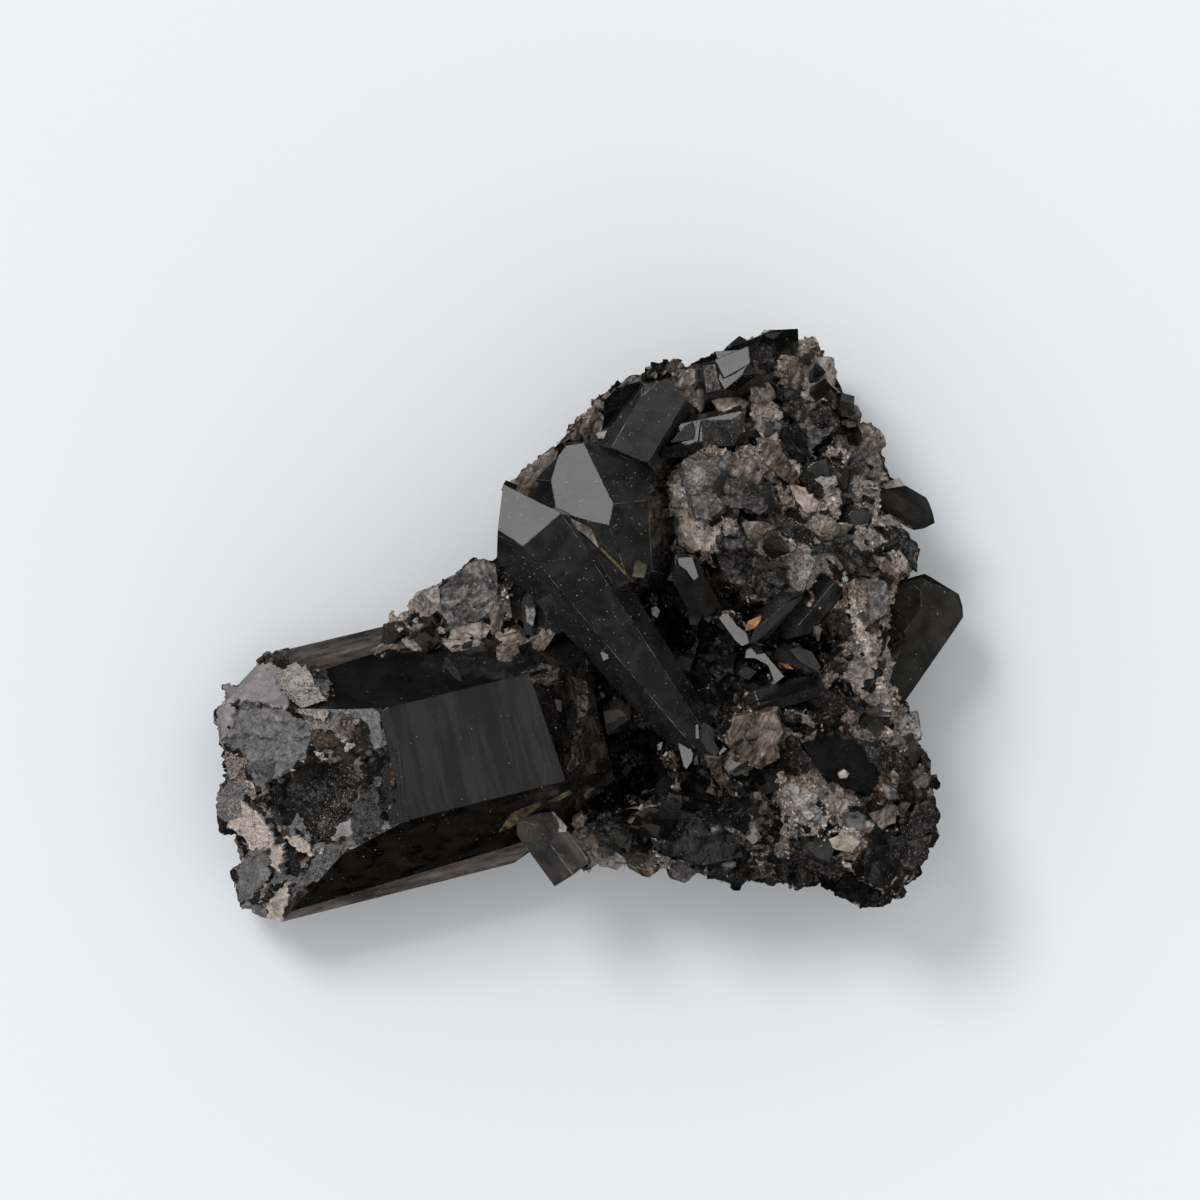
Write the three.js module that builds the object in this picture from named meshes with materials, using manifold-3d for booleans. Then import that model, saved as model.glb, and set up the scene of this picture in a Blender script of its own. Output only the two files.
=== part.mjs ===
// A smoky quartz specimen: dark crystals grown on and through a broken mass of quartz.
// Millimetres, +Z up. The specimen lies on its broken back and on one face of the large crystal,
// both at z = 0. X runs along its length and Y across it, seen from above.

import * as THREE from 'three';
import { ConvexGeometry } from 'three/addons/geometries/ConvexGeometry.js';
import { mergeVertices } from 'three/addons/utils/BufferGeometryUtils.js';
import Module from 'manifold-3d';

const wasm = await Module();
wasm.setup();

// Driving dimensions

const SEAT_GAP = 0.3;           // between a crystal's root and the rock around it
const PRISM_TURN = 60;          // degrees from one prism face of quartz to the next
const TIP_TURN = 38.2;          // degrees from a prism face to the tip face above it
const TIP_SLOPE = 51.8;         // degrees from the crystal's axis to a tip face's normal
const SMALL_TIP_SHARE = 0.12;   // how far the three lesser tip faces stand off, in widths
const SAME_POINT = 1e-3;
const ON_FACE = 1e-4;

const LARGE_CRYSTAL_THICKNESS = 36;
const BLADE_THICKNESS = 12;
const BLADE_LEAN = 21;          // degrees that the long diagonal crystal rises towards its tip
const BLADE_HEADING = -49.6;    // degrees, from its tip to its root, seen from above

// The rock's outline at its widest, seen from above, anticlockwise
const ROCK_OUTLINE = [
  [-13, -33], [-9, -36], [-4, -38.5], [3, -38], [9.6, -38.5], [15, -39.5], [20, -39.5], [25, -40.5],
  [29, -41], [34.4, -40], [38.5, -42], [42.4, -44], [46, -44.5], [49.6, -41.5], [52.8, -38.5],
  [55, -35.5], [55.3, -30], [54.5, -26], [54.2, -22], [52.5, -18.5], [52.2, -14], [49.2, -12],
  [48, -6], [47.5, 0], [49, 5], [51.5, 9.3], [51.3, 13], [48.5, 16], [46, 20], [46.3, 24], [46.5, 27],
  [46, 30.8], [42.7, 33.3], [41.5, 35], [38.5, 37.3], [39, 39.7], [38.3, 42.5], [35, 45.2], [32, 46.2],
  [28.8, 47.4], [23, 46], [19.7, 44], [16, 41.8], [12.5, 41.8], [9.6, 41.2], [6.9, 40], [2.7, 37.2],
  [0, 34.5], [-4, 30], [-8.8, 26], [-11.2, 22.5], [-12, 17], [-12.5, 12], [-12, 4], [-12, -6], [-12, -20],
];
const ROCK_MIDDLE = [20, 0];
// Height of each ring of the rock, and its size as a share of the outline
const ROCK_RINGS = [
  { z: 0, share: 0.72, rough: 0 }, { z: 6, share: 0.88 }, { z: 15, share: 0.985, rough: 0.4 },
  { z: 22, share: 0.92 }, { z: 26, share: 0.72 }, { z: 26, share: 0.4 },
];
// Beyond these rings the blocks that stick out of the rock are broken off
const BREAK_RINGS = [
  { z: 0, share: 0.8, rough: 0 }, { z: 8, share: 0.97 }, { z: 17, share: 1.01, rough: 0.3 },
  { z: 32, share: 0.97 }, { z: 52, share: 0.86 },
];
const ROCK_ROUGHNESS = 1.8;

// A broken block leans up to this many degrees either way, and its faces are up to this far off square
const BLOCK_LEAN = 24;
const BLOCK_SKEW = 0.11;
// How far out a block's faces, cut edges and cut corners lie, in half sizes, and which of them are cut
const BLOCK_SIDE = { reach: 0.86, spread: 0.14, cutAbove: 0 };
const BLOCK_EDGE = { reach: 1.18, spread: 0.2, cutAbove: 0.86 };
const BLOCK_CORNER = { reach: 1.2, spread: 0.36, cutAbove: 0.3 };

// Broken blocks around the rock's sides: least and most of each size
const RIM_BLOCKS = 19;
const RIM_SHARE = 0.87;         // how far out they sit, as a share of the outline
const RIM_HEIGHT = [9, 14];
const RIM_HALF_LENGTH = [4.5, 6];
const RIM_HALF_DEPTH = [4.5, 5.5];
const RIM_HALF_HEIGHT = [5.5, 7.5];

// Where each group of broken blocks starts in the row of repeatable values
const SEEDS = { rock: 1, rim: 51, left: 81, hollow: 101, scoop: 201, lump: 211, rimSizes: 500 };

// Colours, from the specimen's own
const ROCK_COLOUR = 0x4a4340;
const DARK_QUARTZ = 0x1b1a1c;
const BROWN_QUARTZ = 0x3a302a;
const PALE_QUARTZ = 0x6b5f58;

// Directions and faces

const radians = THREE.MathUtils.degToRad;

// The direction that leans `tilt` degrees from straight up, towards `azimuth` degrees from +X
function leaning(azimuth, tilt) {
  const level = Math.sin(radians(tilt));
  return new THREE.Vector3(
    level * Math.cos(radians(azimuth)),
    level * Math.sin(radians(azimuth)),
    Math.cos(radians(tilt)),
  );
}

// A flat face through a point. The solid lies on the side that the normal points away from.
function faceThrough(point, normal) {
  return new THREE.Plane().setFromNormalAndCoplanarPoint(normal, point);
}

function faceAt([x, y, z], azimuth, tilt) {
  return faceThrough(new THREE.Vector3(x, y, z), leaning(azimuth, tilt));
}

function liftedOnto(face, [x, y]) {
  const z = -(face.normal.x * x + face.normal.y * y + face.constant) / face.normal.z;
  return new THREE.Vector3(x, y, z);
}

// The next face of a crystal, across the edge from start to end. The face that is known lies on the
// left of that edge, seen from above, and the new one turns down from it.
function nextFace(face, start, end, turn) {
  const first = liftedOnto(face, start);
  const edge = liftedOnto(face, end).sub(first).normalize();
  const outward = edge.clone().cross(face.normal);
  const normal = face.normal.clone().multiplyScalar(Math.cos(radians(turn)));
  normal.addScaledVector(outward, Math.sin(radians(turn))).normalize();
  return faceThrough(first, normal);
}

function oppositeFace(face, thickness) {
  return new THREE.Plane(face.normal.clone().negate(), -face.constant - thickness);
}

// Solids

function meetingPoint(a, b, c) {
  const bc = b.normal.clone().cross(c.normal);
  const volume = a.normal.dot(bc);
  if (Math.abs(volume) < SAME_POINT) {
    return null;
  }
  const point = bc.multiplyScalar(-a.constant);
  point.addScaledVector(c.normal.clone().cross(a.normal), -b.constant);
  point.addScaledVector(a.normal.clone().cross(b.normal), -c.constant);
  return point.divideScalar(volume);
}

function cornersOf(faces) {
  const corners = [];
  for (let i = 0; i < faces.length; i++) {
    for (let j = i + 1; j < faces.length; j++) {
      for (let k = j + 1; k < faces.length; k++) {
        const point = meetingPoint(faces[i], faces[j], faces[k]);
        const inside = point && faces.every((face) => face.distanceToPoint(point) < ON_FACE);
        if (inside && corners.every((corner) => corner.distanceTo(point) > SAME_POINT)) {
          corners.push(point);
        }
      }
    }
  }
  return corners;
}

function solidOf(geometry) {
  geometry.deleteAttribute('normal');
  geometry.deleteAttribute('uv');
  const merged = mergeVertices(geometry, SAME_POINT);
  return new wasm.Manifold(new wasm.Mesh({
    numProp: 3,
    vertProperties: new Float32Array(merged.attributes.position.array),
    triVerts: new Uint32Array(merged.index.array),
  }));
}

// The solid inside a set of faces, grown outwards by `room` for the seat that it leaves in the rock
function solidInside(faces, room = 0) {
  const moved = faces.map((face) => new THREE.Plane(face.normal.clone(), face.constant - room));
  return solidOf(new ConvexGeometry(cornersOf(moved)));
}

function joined(solids) {
  return solids.reduce((whole, solid) => whole.add(solid));
}

// A repeatable value from 0 to 1 for each whole number
function scatter(number) {
  const wave = Math.sin(number * 12.9898 + 78.233) * 43758.5453;
  return wave - Math.floor(wave);
}

// A small quartz crystal: six prism faces and six tip faces, cut off square at its root
function quartzFaces({ tip, azimuth, elevation, width, depth = width, length, roll = 0 }) {
  const axis = leaning(azimuth, 90 - elevation);
  const up = new THREE.Vector3(0, 0, 1).addScaledVector(axis, -axis.z).normalize();
  const peak = new THREE.Vector3(...tip);
  const middle = peak.clone().addScaledVector(axis, -length / 2);
  const faces = [];
  for (let side = 0; side < 6; side++) {
    const outward = up.clone().applyAxisAngle(axis, radians(roll + side * PRISM_TURN));
    const reach = (side % 3 === 0 ? depth : width) / 2;
    const foot = middle.clone().addScaledVector(outward, reach);
    faces.push(faceThrough(foot, outward));
    const slant = axis.clone().multiplyScalar(Math.cos(radians(TIP_SLOPE)));
    slant.addScaledVector(outward, Math.sin(radians(TIP_SLOPE)));
    const standOff = side % 2 === 0 ? 0 : SMALL_TIP_SHARE * width;
    const onTip = peak.clone().addScaledVector(slant, standOff);
    faces.push(faceThrough(onTip, slant));
  }
  const root = peak.clone().addScaledVector(axis, -length);
  faces.push(faceThrough(root, axis.clone().negate()));
  return faces;
}

// An irregular broken block that fills the box from -half to half around its middle, turned about Z
function blockFaces({ at, half, turn }, seed) {
  const faces = [];
  const centre = new THREE.Vector3(...at);
  const size = new THREE.Vector3(...half);
  const leanX = BLOCK_LEAN * (2 * scatter(seed + 0.1) - 1);
  const leanY = BLOCK_LEAN * (2 * scatter(seed + 0.2) - 1);
  const spin = new THREE.Quaternion().setFromEuler(
    new THREE.Euler(radians(leanX), radians(leanY), radians(turn), 'ZXY'),
  );
  for (const x of [-1, 0, 1]) {
    for (const y of [-1, 0, 1]) {
      for (const z of [-1, 0, 1]) {
        const form = [null, BLOCK_SIDE, BLOCK_EDGE, BLOCK_CORNER][Math.abs(x) + Math.abs(y) + Math.abs(z)];
        const draw = scatter(seed * 31 + (x + 1) * 9 + (y + 1) * 3 + z);
        if (!form || draw < form.cutAbove) {
          continue;
        }
        const skew = BLOCK_SKEW * (2 * draw - 1);
        const outward = new THREE.Vector3(x + skew, y - skew, z + skew / 2).normalize();
        const foot = outward.clone().multiplyScalar(form.reach + form.spread * draw).multiply(size);
        const normal = outward.divide(size).normalize();
        foot.applyQuaternion(spin).add(centre);
        faces.push(faceThrough(foot, normal.applyQuaternion(spin)));
      }
    }
  }
  return faces;
}

function blocks(list, firstSeed) {
  return list.map((block, index) => solidInside(blockFaces(block, firstSeed + index)));
}

function between([least, most], share) {
  return least + (most - least) * share;
}

// Broken blocks all round the rock's sides, inside its outline
function rimBlocks() {
  const list = [];
  for (let step = 0; step < RIM_BLOCKS; step++) {
    const [x, y] = ROCK_OUTLINE[Math.floor((step * ROCK_OUTLINE.length) / RIM_BLOCKS)];
    const draws = [0, 20, 40].map((later) => scatter(SEEDS.rimSizes + later + step));
    list.push({
      at: [
        ROCK_MIDDLE[0] + (x - ROCK_MIDDLE[0]) * RIM_SHARE,
        ROCK_MIDDLE[1] + (y - ROCK_MIDDLE[1]) * RIM_SHARE,
        between(RIM_HEIGHT, draws[0]),
      ],
      half: [
        between(RIM_HALF_LENGTH, draws[0]),
        between(RIM_HALF_DEPTH, 1 - draws[0]),
        between(RIM_HALF_HEIGHT, draws[1]),
      ],
      turn: 90 * draws[2],
    });
  }
  return list;
}

// The large crystal: a stubby prism that lies on one face, with its tip broken off at the left

const largeTop = faceAt([-17, -18, LARGE_CRYSTAL_THICKNESS], 0, 0);
const largeBackSide = nextFace(largeTop, [-4, -5.8], [-33.6, -13], PRISM_TURN);
const largeFrontSide = nextFace(largeTop, [-29.3, -30.6], [-0.8, -23.5], PRISM_TURN);
const largePrism = [
  largeTop,
  largeBackSide,
  nextFace(largeBackSide, [-25.6, -1.9], [-48, -8.3], 6),
  faceAt([-33, 0.4, 12], 102.3, 120),
  largeFrontSide,
  faceAt([-33.6, -43.2, 17], -75.5, 120),
  oppositeFace(largeTop, LARGE_CRYSTAL_THICKNESS),
  faceAt([1.5, -14, 20], 13.7, 90),
  faceAt([-12, -37.5, 17], -53, 86),
];
const largeBreak = [
  nextFace(largeTop, [-33.6, -13], [-29.3, -30.6], 24),
  faceAt([-38.5, -11.5, 33.2], 128, 30),
  faceAt([-50, -9, 26.5], 140, 46),
  faceAt([-55.6, -8.6, 16], 138.5, 88),
  faceAt([-59.2, -18, 16], 191, 87),
  faceAt([-44, -38, 26], 207, 46),
  faceAt([-55, -44.8, 12], 228, 80),
  faceAt([-56, -24, 4], 190, 125),
];
const LARGE_CRYSTAL_SCOOPS = [
  { at: [-45, -27, 33.5], half: [6.5, 5.5, 6], turn: 20 },
  { at: [-54, -24.5, 27], half: [4, 4, 5], turn: -15 },
];
const LARGE_CRYSTAL_LUMPS = [
  { at: [-45, -10.6, 26], half: [2.8, 3.6, 5], turn: 20 },
  { at: [-56.4, -28.6, 14], half: [2.8, 3.2, 5.5], turn: 10 },
  { at: [-52, -40.4, 13], half: [3.2, 4, 7], turn: 15 },
  { at: [-54.8, -14.2, 15], half: [3, 4.2, 8], turn: 5 },
];

function largeCrystal() {
  const prism = solidInside([...largePrism, ...largeBreak]);
  const scoops = blocks(LARGE_CRYSTAL_SCOOPS, SEEDS.scoop);
  const scooped = scoops.reduce((whole, scoop) => whole.subtract(scoop), prism);
  return joined([scooped, ...blocks(LARGE_CRYSTAL_LUMPS, SEEDS.lump)]);
}

// The long diagonal crystal, with its tip at the upper left

const bladeTop = faceAt([-7.6, 15.6, 47], BLADE_HEADING, BLADE_LEAN);
const bladeLeft = nextFace(bladeTop, [-10.6, 13], [13.3, -15.2], PRISM_TURN);
const bladeRight = nextFace(bladeTop, [17.6, -15.5], [-4.3, 17.9], PRISM_TURN);
const bladeTip = nextFace(bladeTop, [-4.6, 18.2], [-10.6, 13], TIP_TURN);
const bladeFaces = [
  bladeTop,
  bladeLeft,
  bladeRight,
  bladeTip,
  nextFace(bladeTip, [-4.6, 18.2], [-12.3, 22.1], 76),
  nextFace(bladeTip, [-13.9, 21.6], [-14.6, 15.7], 80),
  nextFace(bladeTip, [-14.6, 15.7], [-10.6, 13], 48),
  nextFace(bladeLeft, [-13.5, 9.5], [10, -16], PRISM_TURN),
  nextFace(bladeRight, [19.4, -14], [-2, 20], PRISM_TURN),
  oppositeFace(bladeTop, BLADE_THICKNESS),
  faceAt([17, -18.5, 30], BLADE_HEADING, 90 + BLADE_LEAN),
];

// The crystal behind it, whose two broad tip faces meet in a ridge

const twinBright = faceAt([0, 22, 43], 135, 17);
const twinDark = nextFace(twinBright, [3.7, 19.7], [-1, 29.4], 46);
const twinFaces = [
  twinBright,
  twinDark,
  nextFace(twinBright, [-4.5, 18.2], [3, 16.3], TIP_TURN),
  nextFace(twinBright, [3, 16.3], [3.7, 19.7], 50),
  nextFace(twinBright, [-6.2, 23.4], [-5.4, 19.2], PRISM_TURN),
  nextFace(twinBright, [-4.4, 29.2], [-6.2, 23.4], 55),
  nextFace(twinBright, [-1, 29.4], [-4.4, 29.2], 70),
  nextFace(twinDark, [9.1, 19.2], [10.3, 28], 48),
  nextFace(twinDark, [3.7, 18.9], [9.1, 19.2], 34),
  nextFace(twinDark, [3.7, 30.4], [-1, 29.4], 65),
  nextFace(twinDark, [10.3, 28], [3.7, 30.4], 65),
  faceAt([10, 8.5, 36], -60, 80),
  faceAt([-7.7, 25.3, 30], 141, 86),
  faceAt([-9.4, 20, 30], 176, 86),
  faceAt([4, 22, 21], 0, 180),
];

// The crystal behind those, a prism broken off at its upper end

const backTop = faceAt([10, 34, 41], -30, 10);
const backFaces = [
  backTop,
  nextFace(backTop, [8, 36.6], [4.6, 30.7], 52),
  nextFace(backTop, [10.4, 28.3], [14.4, 34.9], PRISM_TURN),
  nextFace(backTop, [11.8, 40], [8, 36.6], 32),
  nextFace(backTop, [14.2, 37.9], [11.8, 40], 48),
  faceAt([3, 33.2, 33], 142, 82),
  faceAt([10, 39.8, 30], 103, 86),
  faceAt([15.4, 38, 30], 35, 84),
  faceAt([6, 26, 34], -110, 78),
  faceAt([8, 32, 22], 0, 180),
];

// Crystals that stand in the rock each on their own

const topFaces = [
  faceAt([22.5, 42.2, 38.5], 118, 18),
  faceAt([22.5, 40.4, 39], -60, 22),
  faceAt([18.6, 39.5, 36], 190, 48),
  faceAt([23.5, 38.6, 36], -70, 58),
  faceAt([22, 43.8, 35], 112, 86),
  faceAt([27.6, 41, 33], 10, 72),
  faceAt([17.4, 40, 32], 185, 82),
  faceAt([22, 41, 24], 0, 180),
];
const POINTING_CRYSTAL = {
  tip: [11.6, 29.6, 35.5], azimuth: 192, elevation: -6, width: 5.6, depth: 5, length: 13.5, roll: 12,
};
const EDGE_CRYSTAL = {
  tip: [55.2, 16.8, 19.5], azimuth: -30, elevation: -4, width: 5.2, depth: 5, length: 14, roll: 20,
};
const RIGHT_CRYSTAL = {
  tip: [57.8, 9.8, 15], azimuth: 55.3, elevation: 4, width: 12.5, depth: 12, length: 30, roll: 30,
};
const BOTTOM_CRYSTAL = {
  tip: [-11.4, -27.4, 27.5], azimuth: 126, elevation: 5, width: 6.6, depth: 7.4, length: 14.5, roll: 24,
};
const RIGHT_CRYSTAL_BREAK = [
  faceAt([59.4, 3, 16], 15, 78),
  faceAt([56.3, 6.7, 16], 62, 84),
];

// What stands up from the rock's upper side: broken blocks, ledges and worn crystal stumps

const ROCK_BLOCKS = [
  { at: [24, 20, 32], half: [8.6, 8.6, 10], turn: 15 },
  { at: [31, 16, 30], half: [6, 7, 10], turn: -10 },
  { at: [33.5, 30.5, 26], half: [5.6, 6.4, 9], turn: 25 },
  { at: [28, 32, 26], half: [5, 5, 7.5], turn: -20 },
  { at: [34.8, 40.6, 20], half: [4.4, 4.9, 9], turn: 10 },
  { at: [29, 42, 20], half: [4.6, 4.6, 9.5], turn: 35 },
  { at: [18, 36, 22], half: [5.5, 5.5, 10], turn: 0 },
  { at: [42, 29.5, 19], half: [4.6, 5.6, 9], turn: 12 },
  { at: [40.6, 34.6, 18], half: [2.8, 2.6, 6], turn: 40 },
  { at: [40, 21, 24], half: [5.5, 6, 10], turn: -15 },
  { at: [43.5, 12.5, 26], half: [5.2, 6, 10], turn: 8 },
  { at: [48.5, 12.3, 19], half: [3.4, 3.8, 7], turn: -25 },
  { at: [37.5, 8.5, 27], half: [6, 6.5, 9.5], turn: 20 },
  { at: [43.8, 2.5, 28], half: [4.4, 8, 10], turn: 12 },
  { at: [46, -7.5, 27], half: [4, 6, 10], turn: 14 },
  { at: [40, -8, 24], half: [5, 6, 9], turn: 0 },
  { at: [23.5, 10.4, 31], half: [3.4, 4.2, 8], turn: 8 },
  { at: [28.6, 7.4, 30], half: [3.2, 3, 7], turn: -12 },
  { at: [26.4, -17.2, 29], half: [4.6, 4.4, 8.5], turn: 18 },
  { at: [35, -15.5, 27], half: [5, 4.5, 8], turn: -8 },
  { at: [41.5, -20, 28], half: [6.5, 5.5, 9], turn: -30 },
  { at: [50.5, -16.5, 21], half: [3.2, 3.6, 7.5], turn: 20 },
  { at: [50.3, -26, 23], half: [5, 6, 9], turn: 10 },
  { at: [36, -29, 27], half: [6, 7, 9.5], turn: 22 },
  { at: [45.5, -33, 24], half: [8, 7.5, 11], turn: -28 },
  { at: [47.3, -39.5, 17], half: [5.6, 5, 9], turn: 15 },
  { at: [29.6, -36.5, 19], half: [5, 4.8, 9], turn: 5 },
  { at: [16.5, -33.4, 22], half: [7, 4.6, 9], turn: -12 },
  { at: [22, -30, 23], half: [4.2, 4.8, 9], turn: 30 },
  { at: [4.4, -34.2, 17], half: [5, 4.6, 8], turn: 10 },
  { at: [-9, 20.5, 20], half: [4, 4.4, 10], turn: 45 },
  { at: [-6, 26, 22], half: [3.4, 3.6, 11], turn: 42 },
  { at: [-0.8, 31.6, 23], half: [3.4, 3.4, 11], turn: 44 },
  { at: [4.5, 36.2, 24], half: [3.6, 3, 10], turn: 40 },
  { at: [10.5, 39.4, 24], half: [4.4, 2.6, 10], turn: 15 },
  { at: [-5, -11, 19], half: [7, 8, 9], turn: 15 },
  { at: [-6.5, -24, 15], half: [6.5, 7, 9], turn: 10 },
];

// Broken blocks behind the large crystal, and under its root
const LEFT_BLOCKS = [
  { at: [-23.4, 0.4, 14], half: [6.4, 4.6, 9], turn: 30 },
  { at: [-16.6, 4.2, 16], half: [5, 4.8, 10], turn: 34 },
  { at: [-9.6, 6, 15], half: [5, 6, 10], turn: 12 },
];

// Deep open places between the crystals
const ROCK_HOLLOWS = [
  { at: [17.2, 1, 31], half: [4.6, 11, 12], turn: 0 },
  { at: [18, -9, 31], half: [6.5, 5.5, 11], turn: 20 },
  { at: [5.5, -22, 27], half: [7.5, 7, 12], turn: 15 },
  { at: [29.5, -2.6, 35], half: [8, 6.5, 9], turn: 30 },
];

// Small crystals that grew on the rock, most of them around the hollows
const SMALL_CRYSTALS = [
  { tip: [20.2, 2.8, 36.2], azimuth: 133, elevation: 9, width: 3, depth: 2.8, length: 15 },
  { tip: [31.2, -8.6, 33], azimuth: -47, elevation: -4, width: 2.5, depth: 2.2, length: 13 },
  { tip: [25.4, -1.8, 37], azimuth: 228, elevation: 12, width: 2.9, depth: 2.6, length: 11, roll: 20 },
  { tip: [31.2, -1.6, 34], azimuth: 230, elevation: 6, width: 4.2, depth: 3.8, length: 12, roll: 30 },
  { tip: [30.8, -3.4, 35.4], azimuth: 145, elevation: 14, width: 2.6, depth: 1.8, length: 7, roll: 0 },
  { tip: [24.6, -12.2, 34.6], azimuth: 196, elevation: 10, width: 3.2, depth: 2.8, length: 13, roll: 18 },
  { tip: [13, -15.4, 33.5], azimuth: 113, elevation: 12, width: 2, depth: 1.8, length: 9, roll: 6 },
  { tip: [18, -15.2, 31], azimuth: 100, elevation: 30, width: 3.2, depth: 3, length: 9, roll: 10 },
  { tip: [18.2, -19.6, 30], azimuth: 130, elevation: 8, width: 3.4, depth: 2.8, length: 10, roll: 0 },
  { tip: [13.8, 11.6, 35], azimuth: 120, elevation: 35, width: 4.2, depth: 4, length: 12, roll: 20 },
  { tip: [-1.6, -4.2, 31], azimuth: 100, elevation: 40, width: 2.4, depth: 2.2, length: 8, roll: 0 },
  { tip: [-9.4, 5.6, 30.5], azimuth: 96, elevation: 38, width: 2.4, depth: 2.2, length: 8, roll: 15 },
  { tip: [7, 8.2, 37], azimuth: 20, elevation: 30, width: 3.4, depth: 3, length: 8, roll: 0 },
  { tip: [36.4, -6.2, 36], azimuth: -20, elevation: 30, width: 2.6, depth: 2.4, length: 8, roll: 10 },
  { tip: [21.6, 24.4, 43], azimuth: 100, elevation: 55, width: 3.8, depth: 3.4, length: 9, roll: 10 },
  { tip: [28.6, 21.6, 43.2], azimuth: 40, elevation: 60, width: 4.6, depth: 4, length: 10, roll: 30 },
  { tip: [37.4, 26.6, 37.4], azimuth: 60, elevation: 50, width: 4.4, depth: 4, length: 11, roll: 0 },
  { tip: [34, 34.6, 35.6], azimuth: 110, elevation: 45, width: 4.2, depth: 3.6, length: 10, roll: 20 },
  { tip: [44.6, 18, 34.6], azimuth: 20, elevation: 40, width: 4, depth: 3.6, length: 10, roll: 5 },
  { tip: [9, -32, 30.6], azimuth: 160, elevation: 25, width: 4.4, depth: 4, length: 11, roll: 14 },
  { tip: [0.8, -31.4, 25.4], azimuth: 150, elevation: 20, width: 4, depth: 3.6, length: 10, roll: 0 },
  { tip: [-14.8, -35.2, 15.5], azimuth: 200, elevation: 5, width: 2.8, depth: 2.6, length: 9, roll: 0 },
  { tip: [52.6, -19, 27.6], azimuth: 30, elevation: 35, width: 4.6, depth: 4, length: 10, roll: 12 },
  { tip: [53, -30.6, 30], azimuth: 10, elevation: 40, width: 5, depth: 4.6, length: 11, roll: 25 },
  { tip: [38, -37, 34], azimuth: -70, elevation: 42, width: 5, depth: 4.4, length: 12, roll: 8 },
];

// Broken crystals and ledges around the rock's sides and back
const SIDE_CRYSTALS = [
  { tip: [24, -41.4, 9], azimuth: -80, elevation: -10, width: 7, depth: 6, length: 14, roll: 10 },
  { tip: [9, -39.6, 13], azimuth: -100, elevation: 6, width: 6, depth: 5.4, length: 13, roll: 24 },
  { tip: [55.4, -25, 10], azimuth: -5, elevation: -8, width: 7.4, depth: 6.6, length: 15, roll: 16 },
  { tip: [49, -4, 9.5], azimuth: 5, elevation: -12, width: 8, depth: 7, length: 14, roll: 0 },
  { tip: [46, 26.6, 8.5], azimuth: 35, elevation: -8, width: 7, depth: 6.2, length: 14, roll: 30 },
  { tip: [24, 46.6, 10], azimuth: 95, elevation: -6, width: 7.6, depth: 6.6, length: 14, roll: 5 },
  { tip: [5, 39, 12], azimuth: 125, elevation: 4, width: 6.4, depth: 5.6, length: 13, roll: 22 },
  { tip: [-9.4, 25.4, 12], azimuth: 140, elevation: -2, width: 6, depth: 5.4, length: 13, roll: 14 },
  { tip: [39, 40.6, 9], azimuth: 60, elevation: -10, width: 6, depth: 5.2, length: 13, roll: 10 },
];

// A solid made of rings of the rock's outline, one above another, each corner a little off its place
function ringSolid(rings, roughness) {
  const positions = [];
  const count = ROCK_OUTLINE.length;
  rings.forEach(({ z, share, rough = roughness }, ring) => {
    ROCK_OUTLINE.forEach(([x, y], corner) => {
      const seed = ring * count + corner;
      positions.push(
        ROCK_MIDDLE[0] + (x - ROCK_MIDDLE[0]) * share + rough * (scatter(seed) - 0.5),
        ROCK_MIDDLE[1] + (y - ROCK_MIDDLE[1]) * share + rough * (scatter(seed + 0.5) - 0.5),
        z + 2 * rough * (scatter(seed + 0.25) - 0.5),
      );
    });
  });
  const triangles = [];
  for (let ring = 0; ring + 1 < rings.length; ring++) {
    for (let corner = 0; corner < count; corner++) {
      const here = ring * count + corner;
      const beside = ring * count + (corner + 1) % count;
      triangles.push(here, beside, beside + count, here, beside + count, here + count);
    }
  }
  const lowMiddle = positions.length / 3;
  positions.push(...ROCK_MIDDLE, rings[0].z, ...ROCK_MIDDLE, rings.at(-1).z);
  const topRing = count * (rings.length - 1);
  for (let corner = 0; corner < count; corner++) {
    const next = (corner + 1) % count;
    triangles.push(lowMiddle, next, corner, lowMiddle + 1, topRing + corner, topRing + next);
  }
  const geometry = new THREE.BufferGeometry();
  geometry.setAttribute('position', new THREE.Float32BufferAttribute(positions, 3));
  geometry.setIndex(triangles);
  return solidOf(geometry);
}

function seatsOf(faceSets) {
  return faceSets.map((faces) => solidInside(faces, SEAT_GAP));
}

// Putting the pieces together

const crystals = [...SMALL_CRYSTALS, ...SIDE_CRYSTALS].map((shape) => solidInside(quartzFaces(shape)));
const groupFaceSets = [bladeFaces, twinFaces, backFaces];
const loneCrystals = {
  top_crystal: { faces: topFaces, colour: DARK_QUARTZ },
  pointing_crystal: { faces: quartzFaces(POINTING_CRYSTAL), colour: DARK_QUARTZ },
  edge_crystal: { faces: quartzFaces(EDGE_CRYSTAL), colour: DARK_QUARTZ },
  right_crystal: { faces: [...quartzFaces(RIGHT_CRYSTAL), ...RIGHT_CRYSTAL_BREAK], colour: BROWN_QUARTZ },
  bottom_crystal: { faces: quartzFaces(BOTTOM_CRYSTAL), colour: PALE_QUARTZ },
};

const largeSeat = solidInside([...largePrism, ...largeBreak], SEAT_GAP);
const groupSeats = seatsOf(groupFaceSets);
const loneSeats = seatsOf(Object.values(loneCrystals).map(({ faces }) => faces));

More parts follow.
